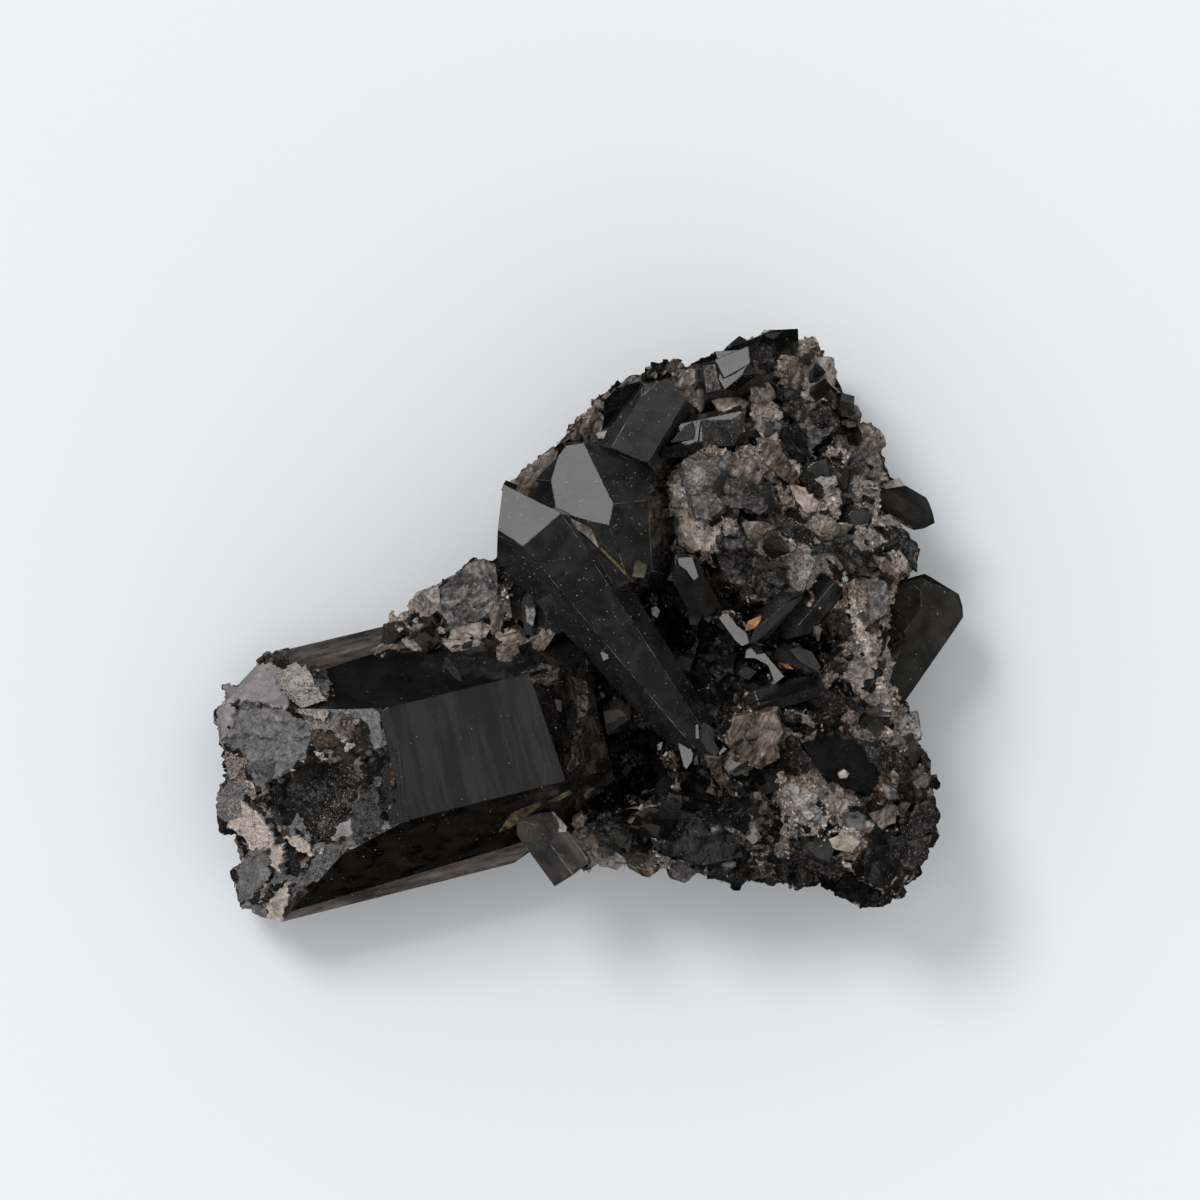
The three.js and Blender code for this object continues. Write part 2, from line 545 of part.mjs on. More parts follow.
function rock() {
  const mass = ringSolid(ROCK_RINGS, ROCK_ROUGHNESS);
  const upperBlocks = blocks(ROCK_BLOCKS, SEEDS.rock);
  const massWithBlocks = joined([mass, ...blocks(rimBlocks(), SEEDS.rim), ...upperBlocks]);
  const broken = massWithBlocks.intersect(ringSolid(BREAK_RINGS, ROCK_ROUGHNESS));
  const whole = joined([broken, ...blocks(LEFT_BLOCKS, SEEDS.left)]);
  const hollows = blocks(ROCK_HOLLOWS, SEEDS.hollow);
  const hollowed = hollows.reduce((rest, hollow) => rest.subtract(hollow), whole);
  const grown = joined([hollowed, ...crystals]);
  const seats = [largeSeat, ...groupSeats, ...loneSeats];
  const seated = seats.reduce((rest, seat) => rest.subtract(seat), grown);
  const pieces = seated.decompose();
  return pieces.reduce((largest, piece) => (piece.volume() > largest.volume() ? piece : largest));
}

function crystalGroup() {
  return joined(groupFaceSets.map((faces) => solidInside(faces))).subtract(largeSeat);
}

function meshOf(name, solid, colour, roughness) {
  const { vertProperties, triVerts } = solid.getMesh();
  const geometry = new THREE.BufferGeometry();
  geometry.setAttribute('position', new THREE.Float32BufferAttribute(vertProperties, 3));
  geometry.setIndex(Array.from(triVerts));
  geometry.computeVertexNormals();
  const material = new THREE.MeshStandardMaterial({
    color: colour,
    roughness,
    metalness: 0,
    flatShading: true,
  });
  const mesh = new THREE.Mesh(geometry, material);
  mesh.name = name;
  return mesh;
}

const specimen = new THREE.Group();
specimen.name = 'smoky_quartz_specimen';
specimen.add(meshOf('matrix', rock(), ROCK_COLOUR, 0.7));
specimen.add(meshOf('large_crystal', largeCrystal(), DARK_QUARTZ, 0.15));
specimen.add(meshOf('crystal_group', crystalGroup(), DARK_QUARTZ, 0.1));
for (const [name, { faces, colour }] of Object.entries(loneCrystals)) {
  const neighbours = [largeSeat, ...groupSeats];
  const solid = neighbours.reduce((whole, seat) => whole.subtract(seat), solidInside(faces));
  specimen.add(meshOf(name, solid, colour, 0.15));
}

// The origin is the middle of the specimen's footprint, on the surface that it lies on
const middle = new THREE.Box3().setFromObject(specimen).getCenter(new THREE.Vector3());
for (const mesh of specimen.children) {
  mesh.geometry.translate(-middle.x, -middle.y, 0);
}

export default specimen;
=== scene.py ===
"""The looks of a smoky quartz specimen, modelled around its CAD frame. Metres, +Z up."""

import math

import bmesh
import bpy
import numpy as np
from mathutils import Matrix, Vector
from mathutils.bvhtree import BVHTree

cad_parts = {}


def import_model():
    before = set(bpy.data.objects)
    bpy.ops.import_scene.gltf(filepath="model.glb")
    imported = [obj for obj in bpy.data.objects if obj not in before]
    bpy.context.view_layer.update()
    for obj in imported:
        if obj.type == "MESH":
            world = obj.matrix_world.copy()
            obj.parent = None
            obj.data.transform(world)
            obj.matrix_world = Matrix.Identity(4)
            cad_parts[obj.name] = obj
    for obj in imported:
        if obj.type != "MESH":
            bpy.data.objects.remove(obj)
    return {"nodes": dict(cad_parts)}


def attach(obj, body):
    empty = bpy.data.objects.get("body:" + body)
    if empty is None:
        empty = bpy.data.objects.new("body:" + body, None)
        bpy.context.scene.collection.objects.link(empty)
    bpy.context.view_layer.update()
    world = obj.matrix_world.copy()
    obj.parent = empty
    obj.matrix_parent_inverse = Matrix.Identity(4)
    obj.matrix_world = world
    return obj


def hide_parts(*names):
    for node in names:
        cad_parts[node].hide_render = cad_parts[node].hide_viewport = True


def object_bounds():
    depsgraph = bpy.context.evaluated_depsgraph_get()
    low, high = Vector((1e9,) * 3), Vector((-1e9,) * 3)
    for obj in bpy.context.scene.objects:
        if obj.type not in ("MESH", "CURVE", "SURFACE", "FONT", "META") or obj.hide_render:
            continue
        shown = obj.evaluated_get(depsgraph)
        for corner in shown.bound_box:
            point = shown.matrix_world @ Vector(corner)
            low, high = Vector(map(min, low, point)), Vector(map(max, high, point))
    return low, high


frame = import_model()
CAD_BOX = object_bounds()

# Driving values

MM = 0.001
PIXEL = 0.16                     # mm on the object for one pixel of the 1200 x 1200 photograph
ZERO_PIXEL = (590, 628)          # the pixel over the point that the CAD outline is drawn from
CENTRING = (0.31, -0.358)        # mm from that point to the frame's origin
FRAME_PIXELS = 1200
REFERENCE_HEIGHT = 20            # mm, where the photograph's scale holds
LENS = 500
SENSOR = 36

ROCK_VOXEL = 0.5                 # mm
TIP_EDGE = 0.36                  # mm, the longest edge on the large crystal's broken tip
PLATE_EDGE = 0.5                 # mm, the same on the rock's rough faces
EDGE_WIDTH = 0.07                # mm, the worn width of a crystal's edges
PLATE_CLEARANCE = 0.35           # mm that the rock lies below a face that covers it
PLATE_MARGIN = 0.6               # mm around such a face that small things keep clear of

KEY_DIRECTION = Vector((-0.355, 0.451, 0.819))
KEY_SPREAD = math.radians(20)
KEY_STRENGTH = 1.2
FILL = 0.75

rng = np.random.default_rng(7)


# Places

def from_photo(px, py):
    """The point of the frame, in mm, that the photograph shows at a pixel."""
    x = (px - ZERO_PIXEL[0]) * PIXEL + CENTRING[0]
    y = (ZERO_PIXEL[1] - py) * PIXEL + CENTRING[1]
    return x, y


def from_drawing(x, y, z):
    """A point given as the CAD drawing gives it, in mm, moved to the frame."""
    return np.array([x + CENTRING[0], y + CENTRING[1], z])


def leaning(azimuth, tilt):
    level = math.sin(math.radians(tilt))
    return np.array([
        level * math.cos(math.radians(azimuth)),
        level * math.sin(math.radians(azimuth)),
        math.cos(math.radians(tilt)),
    ])


def unit(vectors):
    return vectors / np.maximum(np.linalg.norm(vectors, axis=-1, keepdims=True), 1e-12)


def smooth(values, low, high):
    share = np.clip((values - low) / (high - low), 0, 1)
    return share * share * (3 - 2 * share)


# Repeatable scatter in space

def hashed(cells, salt):
    """A value from 0 to 1 for each whole-numbered cell."""
    mixed = cells[..., 0] * 73856093 ^ cells[..., 1] * 19349663 ^ cells[..., 2] * 83492791
    mixed = (mixed ^ (salt * 2654435761)) & 0xFFFFFFFF
    mixed = ((mixed ^ (mixed >> 15)) * 2246822519) & 0xFFFFFFFF
    mixed = ((mixed ^ (mixed >> 13)) * 3266489917) & 0xFFFFFFFF
    return ((mixed ^ (mixed >> 16)) & 0xFFFFFF) / 0x1000000


def hashed_vectors(cells, salt):
    return np.stack([hashed(cells, salt + axis) for axis in range(3)], axis=-1)


def nearest_cells(points, spacing, salt):
    """For each point, the cell of a jittered grid whose centre is nearest, and the offset from that centre."""
    scaled = points / spacing
    base = np.floor(scaled).astype(np.int64)
    best = np.full(len(points), np.inf)
    cell = base.copy()
    offset = np.zeros_like(points)
    for shift in np.ndindex(3, 3, 3):
        candidate = base + np.array(shift) - 1
        away = scaled - (candidate + hashed_vectors(candidate, salt))
        distance = np.einsum("ij,ij->i", away, away)
        closer = distance < best
        best[closer] = distance[closer]
        cell[closer] = candidate[closer]
        offset[closer] = away[closer]
    return cell, offset * spacing


def facet_heights(points, spacing, depth, salt):
    """Heights of a surface broken into flat facets, each with a tilt and a level of its own."""
    cell, offset = nearest_cells(points, spacing, salt)
    tilt = unit(hashed_vectors(cell, salt + 11) - 0.5)
    level = hashed(cell, salt + 17) - 0.5
    slope = np.einsum("ij,ij->i", offset, tilt) / spacing
    return depth * (np.clip(slope, -0.6, 0.6) * 1.1 + 0.8 * level), cell


def value_noise(points, spacing, salt):
    scaled = points / spacing
    base = np.floor(scaled).astype(np.int64)
    part = scaled - base
    part = part * part * (3 - 2 * part)
    total = np.zeros(len(points))
    for corner in np.ndindex(2, 2, 2):
        weight = np.prod(np.where(np.array(corner) == 1, part, 1 - part), axis=1)
        total += weight * hashed(base + np.array(corner), salt)
    return total


# What the rock looks like from place to place: pixel of the photograph, reach in pixels, and how much of
# each look it has there: sugar (pale beige grains), rust (warm brown), dark (clean black glass, and painted shade
# where it fills the deep hollows), frost (grey)
ROCK_LOOKS = [
    ((735, 485), 46, {"sugar": 0.85, "frost": 0.6}),
    ((745, 505), 22, {"dark": 0.5, "frost": 0.8, "sugar": -0.5}),
    ((702, 500), 24, {"sugar": 0.5, "frost": 0.9}),
    ((800, 560), 34, {"sugar": 0.75, "rust": 0.3}),
    ((850, 610), 30, {"sugar": 0.5, "rust": 0.5}),
    ((872, 664), 26, {"sugar": 0.6, "rust": 0.6}),
    ((862, 716), 18, {"sugar": 0.6, "rust": 0.7}),
    ((862, 500), 16, {"sugar": 1.0, "rust": 0.4}),
    # painted shade: darker in the deep hollow here
    ((712, 716), 13, {"dark": 1.4, "sugar": -0.8, "frost": -0.4, "rust": -0.4}),
    ((893, 725), 18, {"sugar": 0.9, "frost": 0.5}),
    ((866, 535), 18, {"sugar": 0.8, "frost": 0.4}),
    ((830, 430), 20, {"frost": 0.6, "rust": 0.3}),
    ((758, 430), 20, {"sugar": 1.1, "rust": 0.4}),
    ((722, 395), 24, {"sugar": 0.7, "frost": 0.5, "rust": 0.4}),
    ((755, 392), 22, {"sugar": 0.7, "rust": 0.5}),
    ((690, 392), 20, {"sugar": 1.1, "rust": 0.4}),
    ((505, 618), 20, {"cream": 0.7, "sugar": 1.0, "rust": 0.5}),
    # painted shade: darker in the deep hollow here
    ((612, 735), 20, {"dark": 1.0, "frost": -0.4, "sugar": -0.4}),
    ((662, 515), 12, {"dark": 1.4, "sugar": -1.0, "rust": -0.6, "frost": -0.5}),
    ((840, 480), 40, {"sugar": 0.45, "rust": 0.45}),
    ((800, 430), 36, {"dark": 0.7, "frost": 0.3}),
    ((775, 350), 26, {"sugar": 1.3}),
    ((755, 410), 22, {"sugar": 0.8, "rust": 0.2}),
    ((700, 405), 18, {"sugar": 0.9, "rust": 0.5}),
    ((815, 375), 26, {"rust": 0.9, "sugar": 0.3}),
    ((860, 440), 28, {"rust": 0.8, "sugar": 0.2}),
    ((600, 415), 16, {"sugar": 0.5, "rust": 0.8}),
    ((560, 455), 16, {"sugar": 0.6, "rust": 0.7}),
    ((525, 485), 12, {"sugar": 0.6, "rust": 0.6}),
    # painted shade: the dark look fills the deep hollows between the crystals
    ((690, 640), 46, {"dark": 1.3}),
    ((630, 770), 46, {"dark": 1.2}),
    ((770, 640), 42, {"dark": 1.0}),
    ((842, 762), 26, {"dark": 1.2, "sugar": -0.6}),
    ((755, 740), 28, {"rust": 0.9, "sugar": 0.75}),
    ((815, 808), 36, {"sugar": 1.0, "frost": 0.4, "rust": 0.35}),
    ((895, 860), 34, {"dark": 0.9, "frost": 0.3}),
    ((860, 890), 24, {"dark": 0.6, "frost": 0.5}),
    ((910, 760), 28, {"rust": 0.4, "frost": 0.7}),
    ((700, 840), 34, {"dark": 0.4, "frost": 1.1}),
    ((620, 850), 26, {"sugar": 0.5, "rust": 0.7}),
    ((650, 875), 22, {"sugar": 0.6, "rust": 0.6}),
    ((440, 605), 34, {"frost": 1.2, "dark": 0.2}),
    ((400, 620), 18, {"sugar": 0.7, "rust": 0.4}),
    ((500, 640), 18, {"sugar": 0.8, "rust": 0.5}),
    ((880, 550), 24, {"dark": 0.6, "frost": 0.3}),
    ((920, 590), 20, {"dark": 0.5, "rust": 0.3}),
]
LOOKS_ELSEWHERE = {"sugar": 0.26, "rust": 0.36, "dark": 0.5, "frost": 0.25, "cream": 0.0, "smooth": 0.0}

# Pale veins and seams of crumbs: the pixels along each, its half width in pixels, and its looks
VEINS = {
    "cream vein beside the group": (
        [(676, 480), (678, 512), (684, 528), (700, 538), (710, 536)], 8, {"cream": 1.4, "sugar": 1, "dark": -1}),
    "its spike": ([(700, 540), (706, 556), (711, 575)], 4, {"cream": 1.3, "dark": -1}),
    "tan fibrous vein": (
        [(849, 604), (858, 630), (867, 654), (878, 680), (887, 711), (893, 734)], 4.5,
        {"cream": 1.1, "sugar": 1, "dark": -1}),
    "seam above the druse block": ([(684, 462), (707, 455), (734, 446), (757, 444)], 5, {"sugar": 1.2, "cream": 0.3}),
    "seam right of the druse block": (
        [(794, 466), (812, 484), (826, 501), (851, 505), (869, 519), (894, 550), (901, 567)], 7,
        {"sugar": 1.2, "cream": 0.35}),
    "seam right of the stubby blocks": ([(753, 548), (780, 560), (786, 591)], 5, {"sugar": 1.2, "cream": 0.2}),
    "seam down the middle": ([(830, 553), (851, 580), (856, 612)], 4, {"sugar": 1.0}),
    "seam under the right crystal": ([(889, 576), (894, 605)], 6, {"sugar": 1.1, "cream": 0.3}),
    "seam from the top edge": ([(769, 337), (781, 351), (777, 376), (769, 391), (755, 419)], 7, {"sugar": 1.2, "cream": 0.3}),
    "seam left of the top crystal": ([(683, 384), (701, 401), (716, 411)], 6, {"sugar": 1.1, "rust": 0.6}),
    "seam under the bronze break": ([(770, 775), (790, 790), (812, 812), (850, 822)], 13, {"sugar": 1.2, "cream": 0.35, "dark": -0.5}),
    "white crumbs at the lower right": ([(828, 838), (846, 838), (858, 843)], 6, {"sugar": 1, "cream": 0.9}),
    "white streak": ([(848, 828), (872, 821)], 3, {"cream": 1.4}),
    "rim of crumbs at the bottom": ([(585, 838), (600, 855), (625, 868), (650, 870)], 10, {"sugar": 1.0, "rust": 0.4}),
    "rim of crumbs behind the large crystal": ([(392, 618), (404, 606), (425, 592)], 7, {"sugar": 1.0, "cream": 0.4}),
    "cracks behind the large crystal": ([(485, 600), (494, 622), (502, 642)], 4, {"cream": 1.2}),
}

# The large crystal's broken tip, face by face: its looks, how far it stands out in mm, which way it leans
# (azimuth in degrees and slope), and its outline in pixels
TIP_FACES = {
    "smooth pale break at the upper left": (
        {"smooth": 1}, 0.1, (135, 0.05),
        [(251, 665), (275, 664), (288, 676), (284, 686), (292, 700), (288, 709), (265, 702), (236, 700), (216, 708),
         (214, 694), (230, 678), (241, 668)]),
    "pale left edge": ({"smooth": 1, "rust": 0.2}, 0.0, (180, 0.1), [(214, 706), (214, 740), (222, 738), (233, 724), (236, 704)]),
    "granular face, dark part": (
        {"frost": 0.8, "dark": 0.25}, -0.2, (100, 0.16),
        [(236, 706), (265, 703), (289, 710), (309, 724), (312, 738), (285, 742), (246, 735), (223, 738), (233, 724)]),
    "granular face, light part": (
        {"frost": 1}, 0.1, (100, 0.2),
        [(223, 738), (246, 735), (285, 742), (312, 738), (309, 756), (289, 770), (271, 782), (265, 794), (251, 780),
         (246, 756), (230, 746)]),
    "pinkish nodule": (
        {"cream": 0.55, "smooth": 0.5, "rust": 0.6}, 1.0, (200, 0.1),
        [(289, 671), (298, 667), (306, 671), (317, 686), (326, 699), (335, 714), (328, 720), (312, 716), (295, 709),
         (292, 696), (284, 686), (284, 678)]),
    "brown glassy dip": ({"rust": 1, "dark": 0.3}, -0.3, (0, 0.1), [(310, 730), (331, 730), (345, 741), (331, 748), (314, 744)]),
    "dark hollow": (
        {"dark": 0.7, "frost": 0.42}, -0.9, (40, 0.12),
        [(271, 786), (284, 775), (295, 772), (303, 765), (325, 765), (330, 790), (322, 812), (306, 828), (295, 814),
         (272, 810), (267, 797)]),
    "crumbs in the dark hollow": (
        {"dark": 0.55, "rust": 0.5, "sugar": 0.3}, -0.6, (0, 0.1),
        [(325, 765), (333, 760), (352, 766), (364, 782), (352, 808), (338, 827), (324, 843), (314, 842), (306, 828),
         (322, 812), (330, 790)]),
    "dark grainy face": (
        {"dark": 0.65, "frost": 0.4}, 0.2, (20, 0.1),
        [(354, 724), (366, 720), (375, 735), (373, 749), (364, 761), (356, 747)]),
    "grey smooth face": (
        {"frost": 0.85}, 0.3, (70, 0.12),
        [(352, 695), (371, 703), (379, 710), (386, 733), (383, 745), (376, 747), (372, 730), (366, 720), (354, 715)]),
    "black face beside the ledges": (
        {"dark": 1}, -0.1, (-30, 0.3),
        [(387, 744), (400, 745), (393, 759), (385, 766), (376, 779), (364, 789), (364, 765), (376, 751)]),
    "granular triangle": (
        {"frost": 0.55, "dark": 0.5}, 0.3, (-60, 0.05),
        [(376, 779), (387, 820), (385, 827), (369, 835), (355, 841), (352, 828), (354, 813), (359, 799)]),
    "pale wedge": ({"cream": 0.5, "smooth": 0.6, "frost": 0.7}, 0.3, (-60, 0.05), [(352, 817), (355, 832), (345, 837), (333, 840), (340, 828)]),
    "grey edge strip": (
        {"frost": 0.6, "dark": 0.42}, 0.2, (-80, 0.05),
        [(328, 843), (356, 841), (340, 861), (303, 888), (284, 907), (303, 873), (324, 855)]),
    "cream streaks": (
        {"cream": 0.62, "frost": 0.8, "smooth": 0.35}, 0.5, (170, 0.15),
        [(240, 800), (252, 806), (266, 818), (280, 840), (262, 855), (244, 838), (226, 827), (232, 818)]),
    "white streak": ({"cream": 0.65, "frost": 0.9}, 0.4, (0, 0.0), [(270, 842), (284, 842), (282, 872), (271, 864)]),
    "black pit": ({"dark": 0.7, "frost": 0.5}, -1.1, (0, 0.0), [(284, 846), (292, 845), (291, 860), (303, 867), (296, 881), (284, 875)]),
    "cream crumbs with rust": ({"cream": 0.7, "sugar": 1, "rust": 0.3}, 0.4, (0, 0.0), [(284, 835), (303, 836), (314, 846), (312, 857), (295, 846)]),
    "grey lower left face": (
        {"frost": 0.8, "smooth": 0.3}, 0.3, (200, 0.15),
        [(247, 853), (268, 846), (271, 871), (261, 886), (247, 902), (234, 902), (236, 871)]),
    "white bottom corner": ({"cream": 0.65, "frost": 0.9}, 0.3, (-100, 0.1), [(267, 901), (284, 886), (293, 879), (286, 907), (280, 925), (266, 921)]),
    "blue grey bottom": ({"frost": 0.9, "smooth": 0.2}, 0.1, (-120, 0.2), [(238, 905), (261, 905), (267, 923), (248, 920)]),
    "left knob": ({"dark": 0.4, "frost": 0.7, "sugar": 0.4}, 0.2, (180, 0.0), [(226, 783), (247, 780), (246, 793), (239, 804), (243, 815), (228, 823), (212, 812), (212, 800)]),
    "brown concave edge": ({"rust": 0.7, "sugar": 0.7, "cream": 0.4}, -0.3, (180, 0.1), [(216, 740), (247, 761), (246, 778), (230, 781), (222, 768), (218, 752)]),
}
TIP_ELSEWHERE = {"sugar": 0.3, "rust": 0.35, "dark": 0.45, "frost": 0.5, "cream": 0.12, "smooth": 0.0}


def distance_to_line(points, pixels):
    """How far points lie from a line through the photograph's pixels, seen from above, in mm."""
    corners = np.array([from_photo(*pixel) for pixel in pixels])
    nearest = np.full(len(points), np.inf)
    for start, end in zip(corners, corners[1:]):
        along = end - start
        share = np.clip((points[:, :2] - start) @ along / (along @ along), 0, 1)
        away = points[:, :2] - start - share[:, None] * along
        nearest = np.minimum(nearest, np.hypot(away[:, 0], away[:, 1]))
    return nearest


def inside_outline(points, outline):
    """Which points lie inside an outline given in the photograph's pixels, seen from above."""
    corners = np.array([from_photo(*pixel) for pixel in outline])
    x, y = points[:, 0], points[:, 1]
    inside = np.zeros(len(points), bool)
    for start, end in zip(corners, np.roll(corners, -1, axis=0)):
        if start[1] == end[1]:
            continue
        crosses = (start[1] > y) != (end[1] > y)
        inside ^= crosses & (x < (end[0] - start[0]) * (y - start[1]) / (end[1] - start[1]) + start[0])
    return inside


def look_shares(points, places=ROCK_LOOKS, elsewhere=LOOKS_ELSEWHERE, veins=VEINS):
    """How much of each look the surface has at each point, from the lists of places and veins."""
    shares = {look: np.full(len(points), base) for look, base in elsewhere.items()}
    weights = []
    for pixel, reach, amounts in places:
        x, y = from_photo(*pixel)
        distance = np.hypot(points[:, 0] - x, points[:, 1] - y) / (reach * PIXEL)
        weights.append((np.exp(-0.7 * distance ** 3), amounts))
    for pixels, half_width, amounts in veins.values():
        distance = distance_to_line(points, pixels) / (half_width * PIXEL)
        weights.append((np.exp(-0.7 * distance ** 3), amounts))
    for weight, amounts in weights:
        for look, amount in amounts.items():
            shares[look] += weight * amount
    return shares


def paint(points, shares, salt):
    """Values from 0 to 1 for the surface's tone and looks, in cells as large as its broken faces."""
    coarse, _ = nearest_cells(points, 3.4, salt)
    fine, _ = nearest_cells(points, 1.3, salt + 50)
    values = {}
    for number, look in enumerate(shares):
        draw = 0.62 * hashed(coarse, salt + 70 + number) + 0.38 * hashed(fine, salt + 90 + number)
        values[look] = smooth(shares[look] - draw, -0.08, 0.12)
    values["tone"] = 0.6 * hashed(coarse, salt + 80) + 0.4 * hashed(fine, salt + 81)
    return values


# Meshes

def mesh_object(name, points_mm, faces, materials, slots=None):
    mesh = bpy.data.meshes.new(name)
    mesh.from_pydata((np.asarray(points_mm) * MM).tolist(), [], faces)
    for material in materials:
        mesh.materials.append(material)
    if slots is not None:
        mesh.polygons.foreach_set("material_index", np.asarray(slots, dtype=np.int32))
    mesh.update()
    obj = bpy.data.objects.new(name, mesh)
    bpy.context.scene.collection.objects.link(obj)
    return obj


def arrays_of(mesh):
    """A mesh's points and point normals, in mm, as arrays."""
    points = np.empty(len(mesh.vertices) * 3)
    mesh.vertices.foreach_get("co", points)
    normals = np.empty(len(mesh.vertices) * 3)
    mesh.vertex_normals.foreach_get("vector", normals)
    return points.reshape(-1, 3) / MM, normals.reshape(-1, 3)


def set_points(mesh, points_mm):
    mesh.vertices.foreach_set("co", (points_mm * MM).ravel())
    mesh.update()


def set_values(mesh, values):
    for name, numbers in values.items():
        attribute = mesh.attributes.new(name, "FLOAT", "POINT")
        attribute.data.foreach_set("value", np.asarray(numbers, dtype=np.float32))


def with_modifiers(obj):
    """The object's own mesh, with its modifiers applied."""
    bpy.context.view_layer.update()
    evaluated = obj.evaluated_get(bpy.context.evaluated_depsgraph_get())
    mesh = bpy.data.meshes.new_from_object(evaluated)
    old = obj.data
    obj.modifiers.clear()
    obj.data = mesh
    bpy.data.meshes.remove(old)
    return mesh


MOST_TRIANGLES = 190000      # that one piece may have


def thin(name):
    """Collapses a piece's least needed edges until it has no more triangles than one may have."""
    obj = bpy.data.objects[name]
    obj.data.calc_loop_triangles()
    count = len(obj.data.loop_triangles)
    if count > MOST_TRIANGLES:
        collapse = obj.modifiers.new("thin", "DECIMATE")
        collapse.ratio = MOST_TRIANGLES / count
        with_modifiers(obj)


def node_copy(node, name):
    mesh = frame["nodes"][node].data.copy()
    mesh.name = name
    mesh.materials.clear()
    obj = bpy.data.objects.new(name, mesh)
    bpy.context.scene.collection.objects.link(obj)
    return obj


def whole_faces(obj):
    """Joins the triangles of each flat face into one polygon."""
    shape = bmesh.new()
    shape.from_mesh(obj.data)
    bmesh.ops.remove_doubles(shape, verts=shape.verts, dist=0.004 * MM)
    bmesh.ops.dissolve_limit(shape, angle_limit=math.radians(0.4), verts=shape.verts, edges=shape.edges)
    shape.to_mesh(obj.data)
    shape.free()


def worn_edges_and_highlight(obj, width=EDGE_WIDTH, pale=True):
    """Wears a crystal's edges into narrow strips, with a paler look of their own if wanted: partly wear, partly a
    painted edge highlight.
    """
    bevel = obj.modifiers.new("worn", "BEVEL")
    if pale:
        obj.data.materials.append(WORN_EDGE_HIGHLIGHT)
        bevel.material = len(obj.data.materials) - 1
    bevel.width = width * MM
    bevel.segments = 2
    bevel.limit_method = "ANGLE"
    bevel.angle_limit = math.radians(12)
    bevel.use_clamp_overlap = True
    with_modifiers(obj)


REFINING_PASSES = 7


def refine(obj, slots, edge):
    """Cuts the faces of these material slots into triangles with sides no longer than edge, in mm."""
    shape = bmesh.new()
    shape.from_mesh(obj.data)
    bmesh.ops.triangulate(shape, faces=[face for face in shape.faces if face.material_index in slots])
    for _ in range(REFINING_PASSES):
        rough = [side for side in shape.edges if any(face.material_index in slots for face in side.link_faces)]
        long_sides = [side for side in rough if side.calc_length() > edge * MM]
        if not long_sides:
            break
        bmesh.ops.subdivide_edges(shape, edges=long_sides, cuts=1)
        bmesh.ops.triangulate(shape, faces=[face for face in shape.faces if face.material_index in slots])
    inner = [float(all(face.material_index in slots for face in vert.link_faces)) for vert in shape.verts]
    shape.to_mesh(obj.data)
    shape.free()
    return np.array(inner)


def in_slots(mesh, slots):
    """1 for the points of faces with these material slots, 0 for the others."""
    marks = np.zeros(len(mesh.vertices))
    for polygon in mesh.polygons:
        if polygon.material_index in slots:
            marks[list(polygon.vertices)] = 1
    return marks


def tree_of(*objects):
    """A search tree over the objects' surfaces, for laying small things on them. In metres."""
    points, faces = [], []
    for obj in objects:
        start = len(points)
        points += [v.co.copy() for v in obj.data.vertices]
        faces += [[start + i for i in polygon.vertices] for polygon in obj.data.polygons]
    return BVHTree.FromPolygons(points, faces)


def height_below(tree, x, y):
    """The height of the highest surface over x, y in mm, or None."""
    place, _, _, _ = tree.ray_cast(Vector((x * MM, y * MM, 0.2)), Vector((0, 0, -1)))
    return None if place is None else place.z / MM


# Convex shapes: crystals and broken chunks

def hull(points):
    """A convex shape as its points and its flat faces."""
    shape = bmesh.new()
    for point in points:
        shape.verts.new(point)
    bmesh.ops.convex_hull(shape, input=shape.verts)
    loose = [v for v in shape.verts if not v.link_faces]
    bmesh.ops.delete(shape, geom=loose, context="VERTS")
    bmesh.ops.dissolve_limit(shape, angle_limit=math.radians(1), verts=shape.verts, edges=shape.edges)
    shape.verts.index_update()
    found = np.array([v.co[:] for v in shape.verts])
    faces = [[v.index for v in face.verts] for face in shape.faces]
    shape.free()
    return found, faces


def shape_inside(planes):
    """The convex shape inside planes given as rows of a point and an outward normal."""
    normals = unit(np.array([normal for _, normal in planes]))
    offsets = np.array([np.dot(point, normal) for (point, _), normal in zip(planes, normals)])
    corners = []
    count = len(planes)
    for a in range(count):
        for b in range(a + 1, count):
            for c in range(b + 1, count):
                three = normals[[a, b, c]]
                if abs(np.linalg.det(three)) < 1e-3:
                    continue
                point = np.linalg.solve(three, offsets[[a, b, c]])
                if np.all(normals @ point <= offsets + 1e-4):
                    corners.append(point)
    return hull(corners)


def quartz(width=1.0, depth=None, length=3.0, lesser_tip=0.12, lopsided=None):
    """A quartz crystal with its tip at the origin and its axis along +Z, as planes."""
    depth = depth or width
    planes = []
    for side in range(6):
        angle = math.radians(60 * side)
        outward = np.array([math.cos(angle), math.sin(angle), 0.0])
        reach = (depth if side % 3 == 0 else width) / 2
        if lopsided is not None:
            reach *= 1 + 0.35 * (lopsided[side] - 0.5)
        planes.append((outward * reach - np.array([0, 0, length / 2]), outward))
        slope = math.radians(51.8)
        slant = outward * math.sin(slope) + np.array([0, 0, math.cos(slope)])
        stand_off = 0 if side % 2 == 0 else lesser_tip * width
        if lopsided is not None:
            stand_off += 0.3 * width * lopsided[6 + side]
        planes.append((slant * stand_off, slant))
    planes.append((np.array([0, 0, -length]), np.array([0, 0, -1.0])))
    return planes


def chunk(seed):
    """A broken block about 2 across, as planes."""
    source = np.random.default_rng(seed)
    planes = []
    for axis in range(3):
        for sign in (-1, 1):
            normal = np.zeros(3)
            normal[axis] = sign
            normal = unit(normal + source.normal(0, 0.22, 3))
            planes.append((normal * source.uniform(0.72, 1.0), normal))
    for _ in range(source.integers(3, 7)):
        normal = unit(source.normal(0, 1, 3))
        planes.append((normal * source.uniform(0.8, 1.05), normal))
    return planes


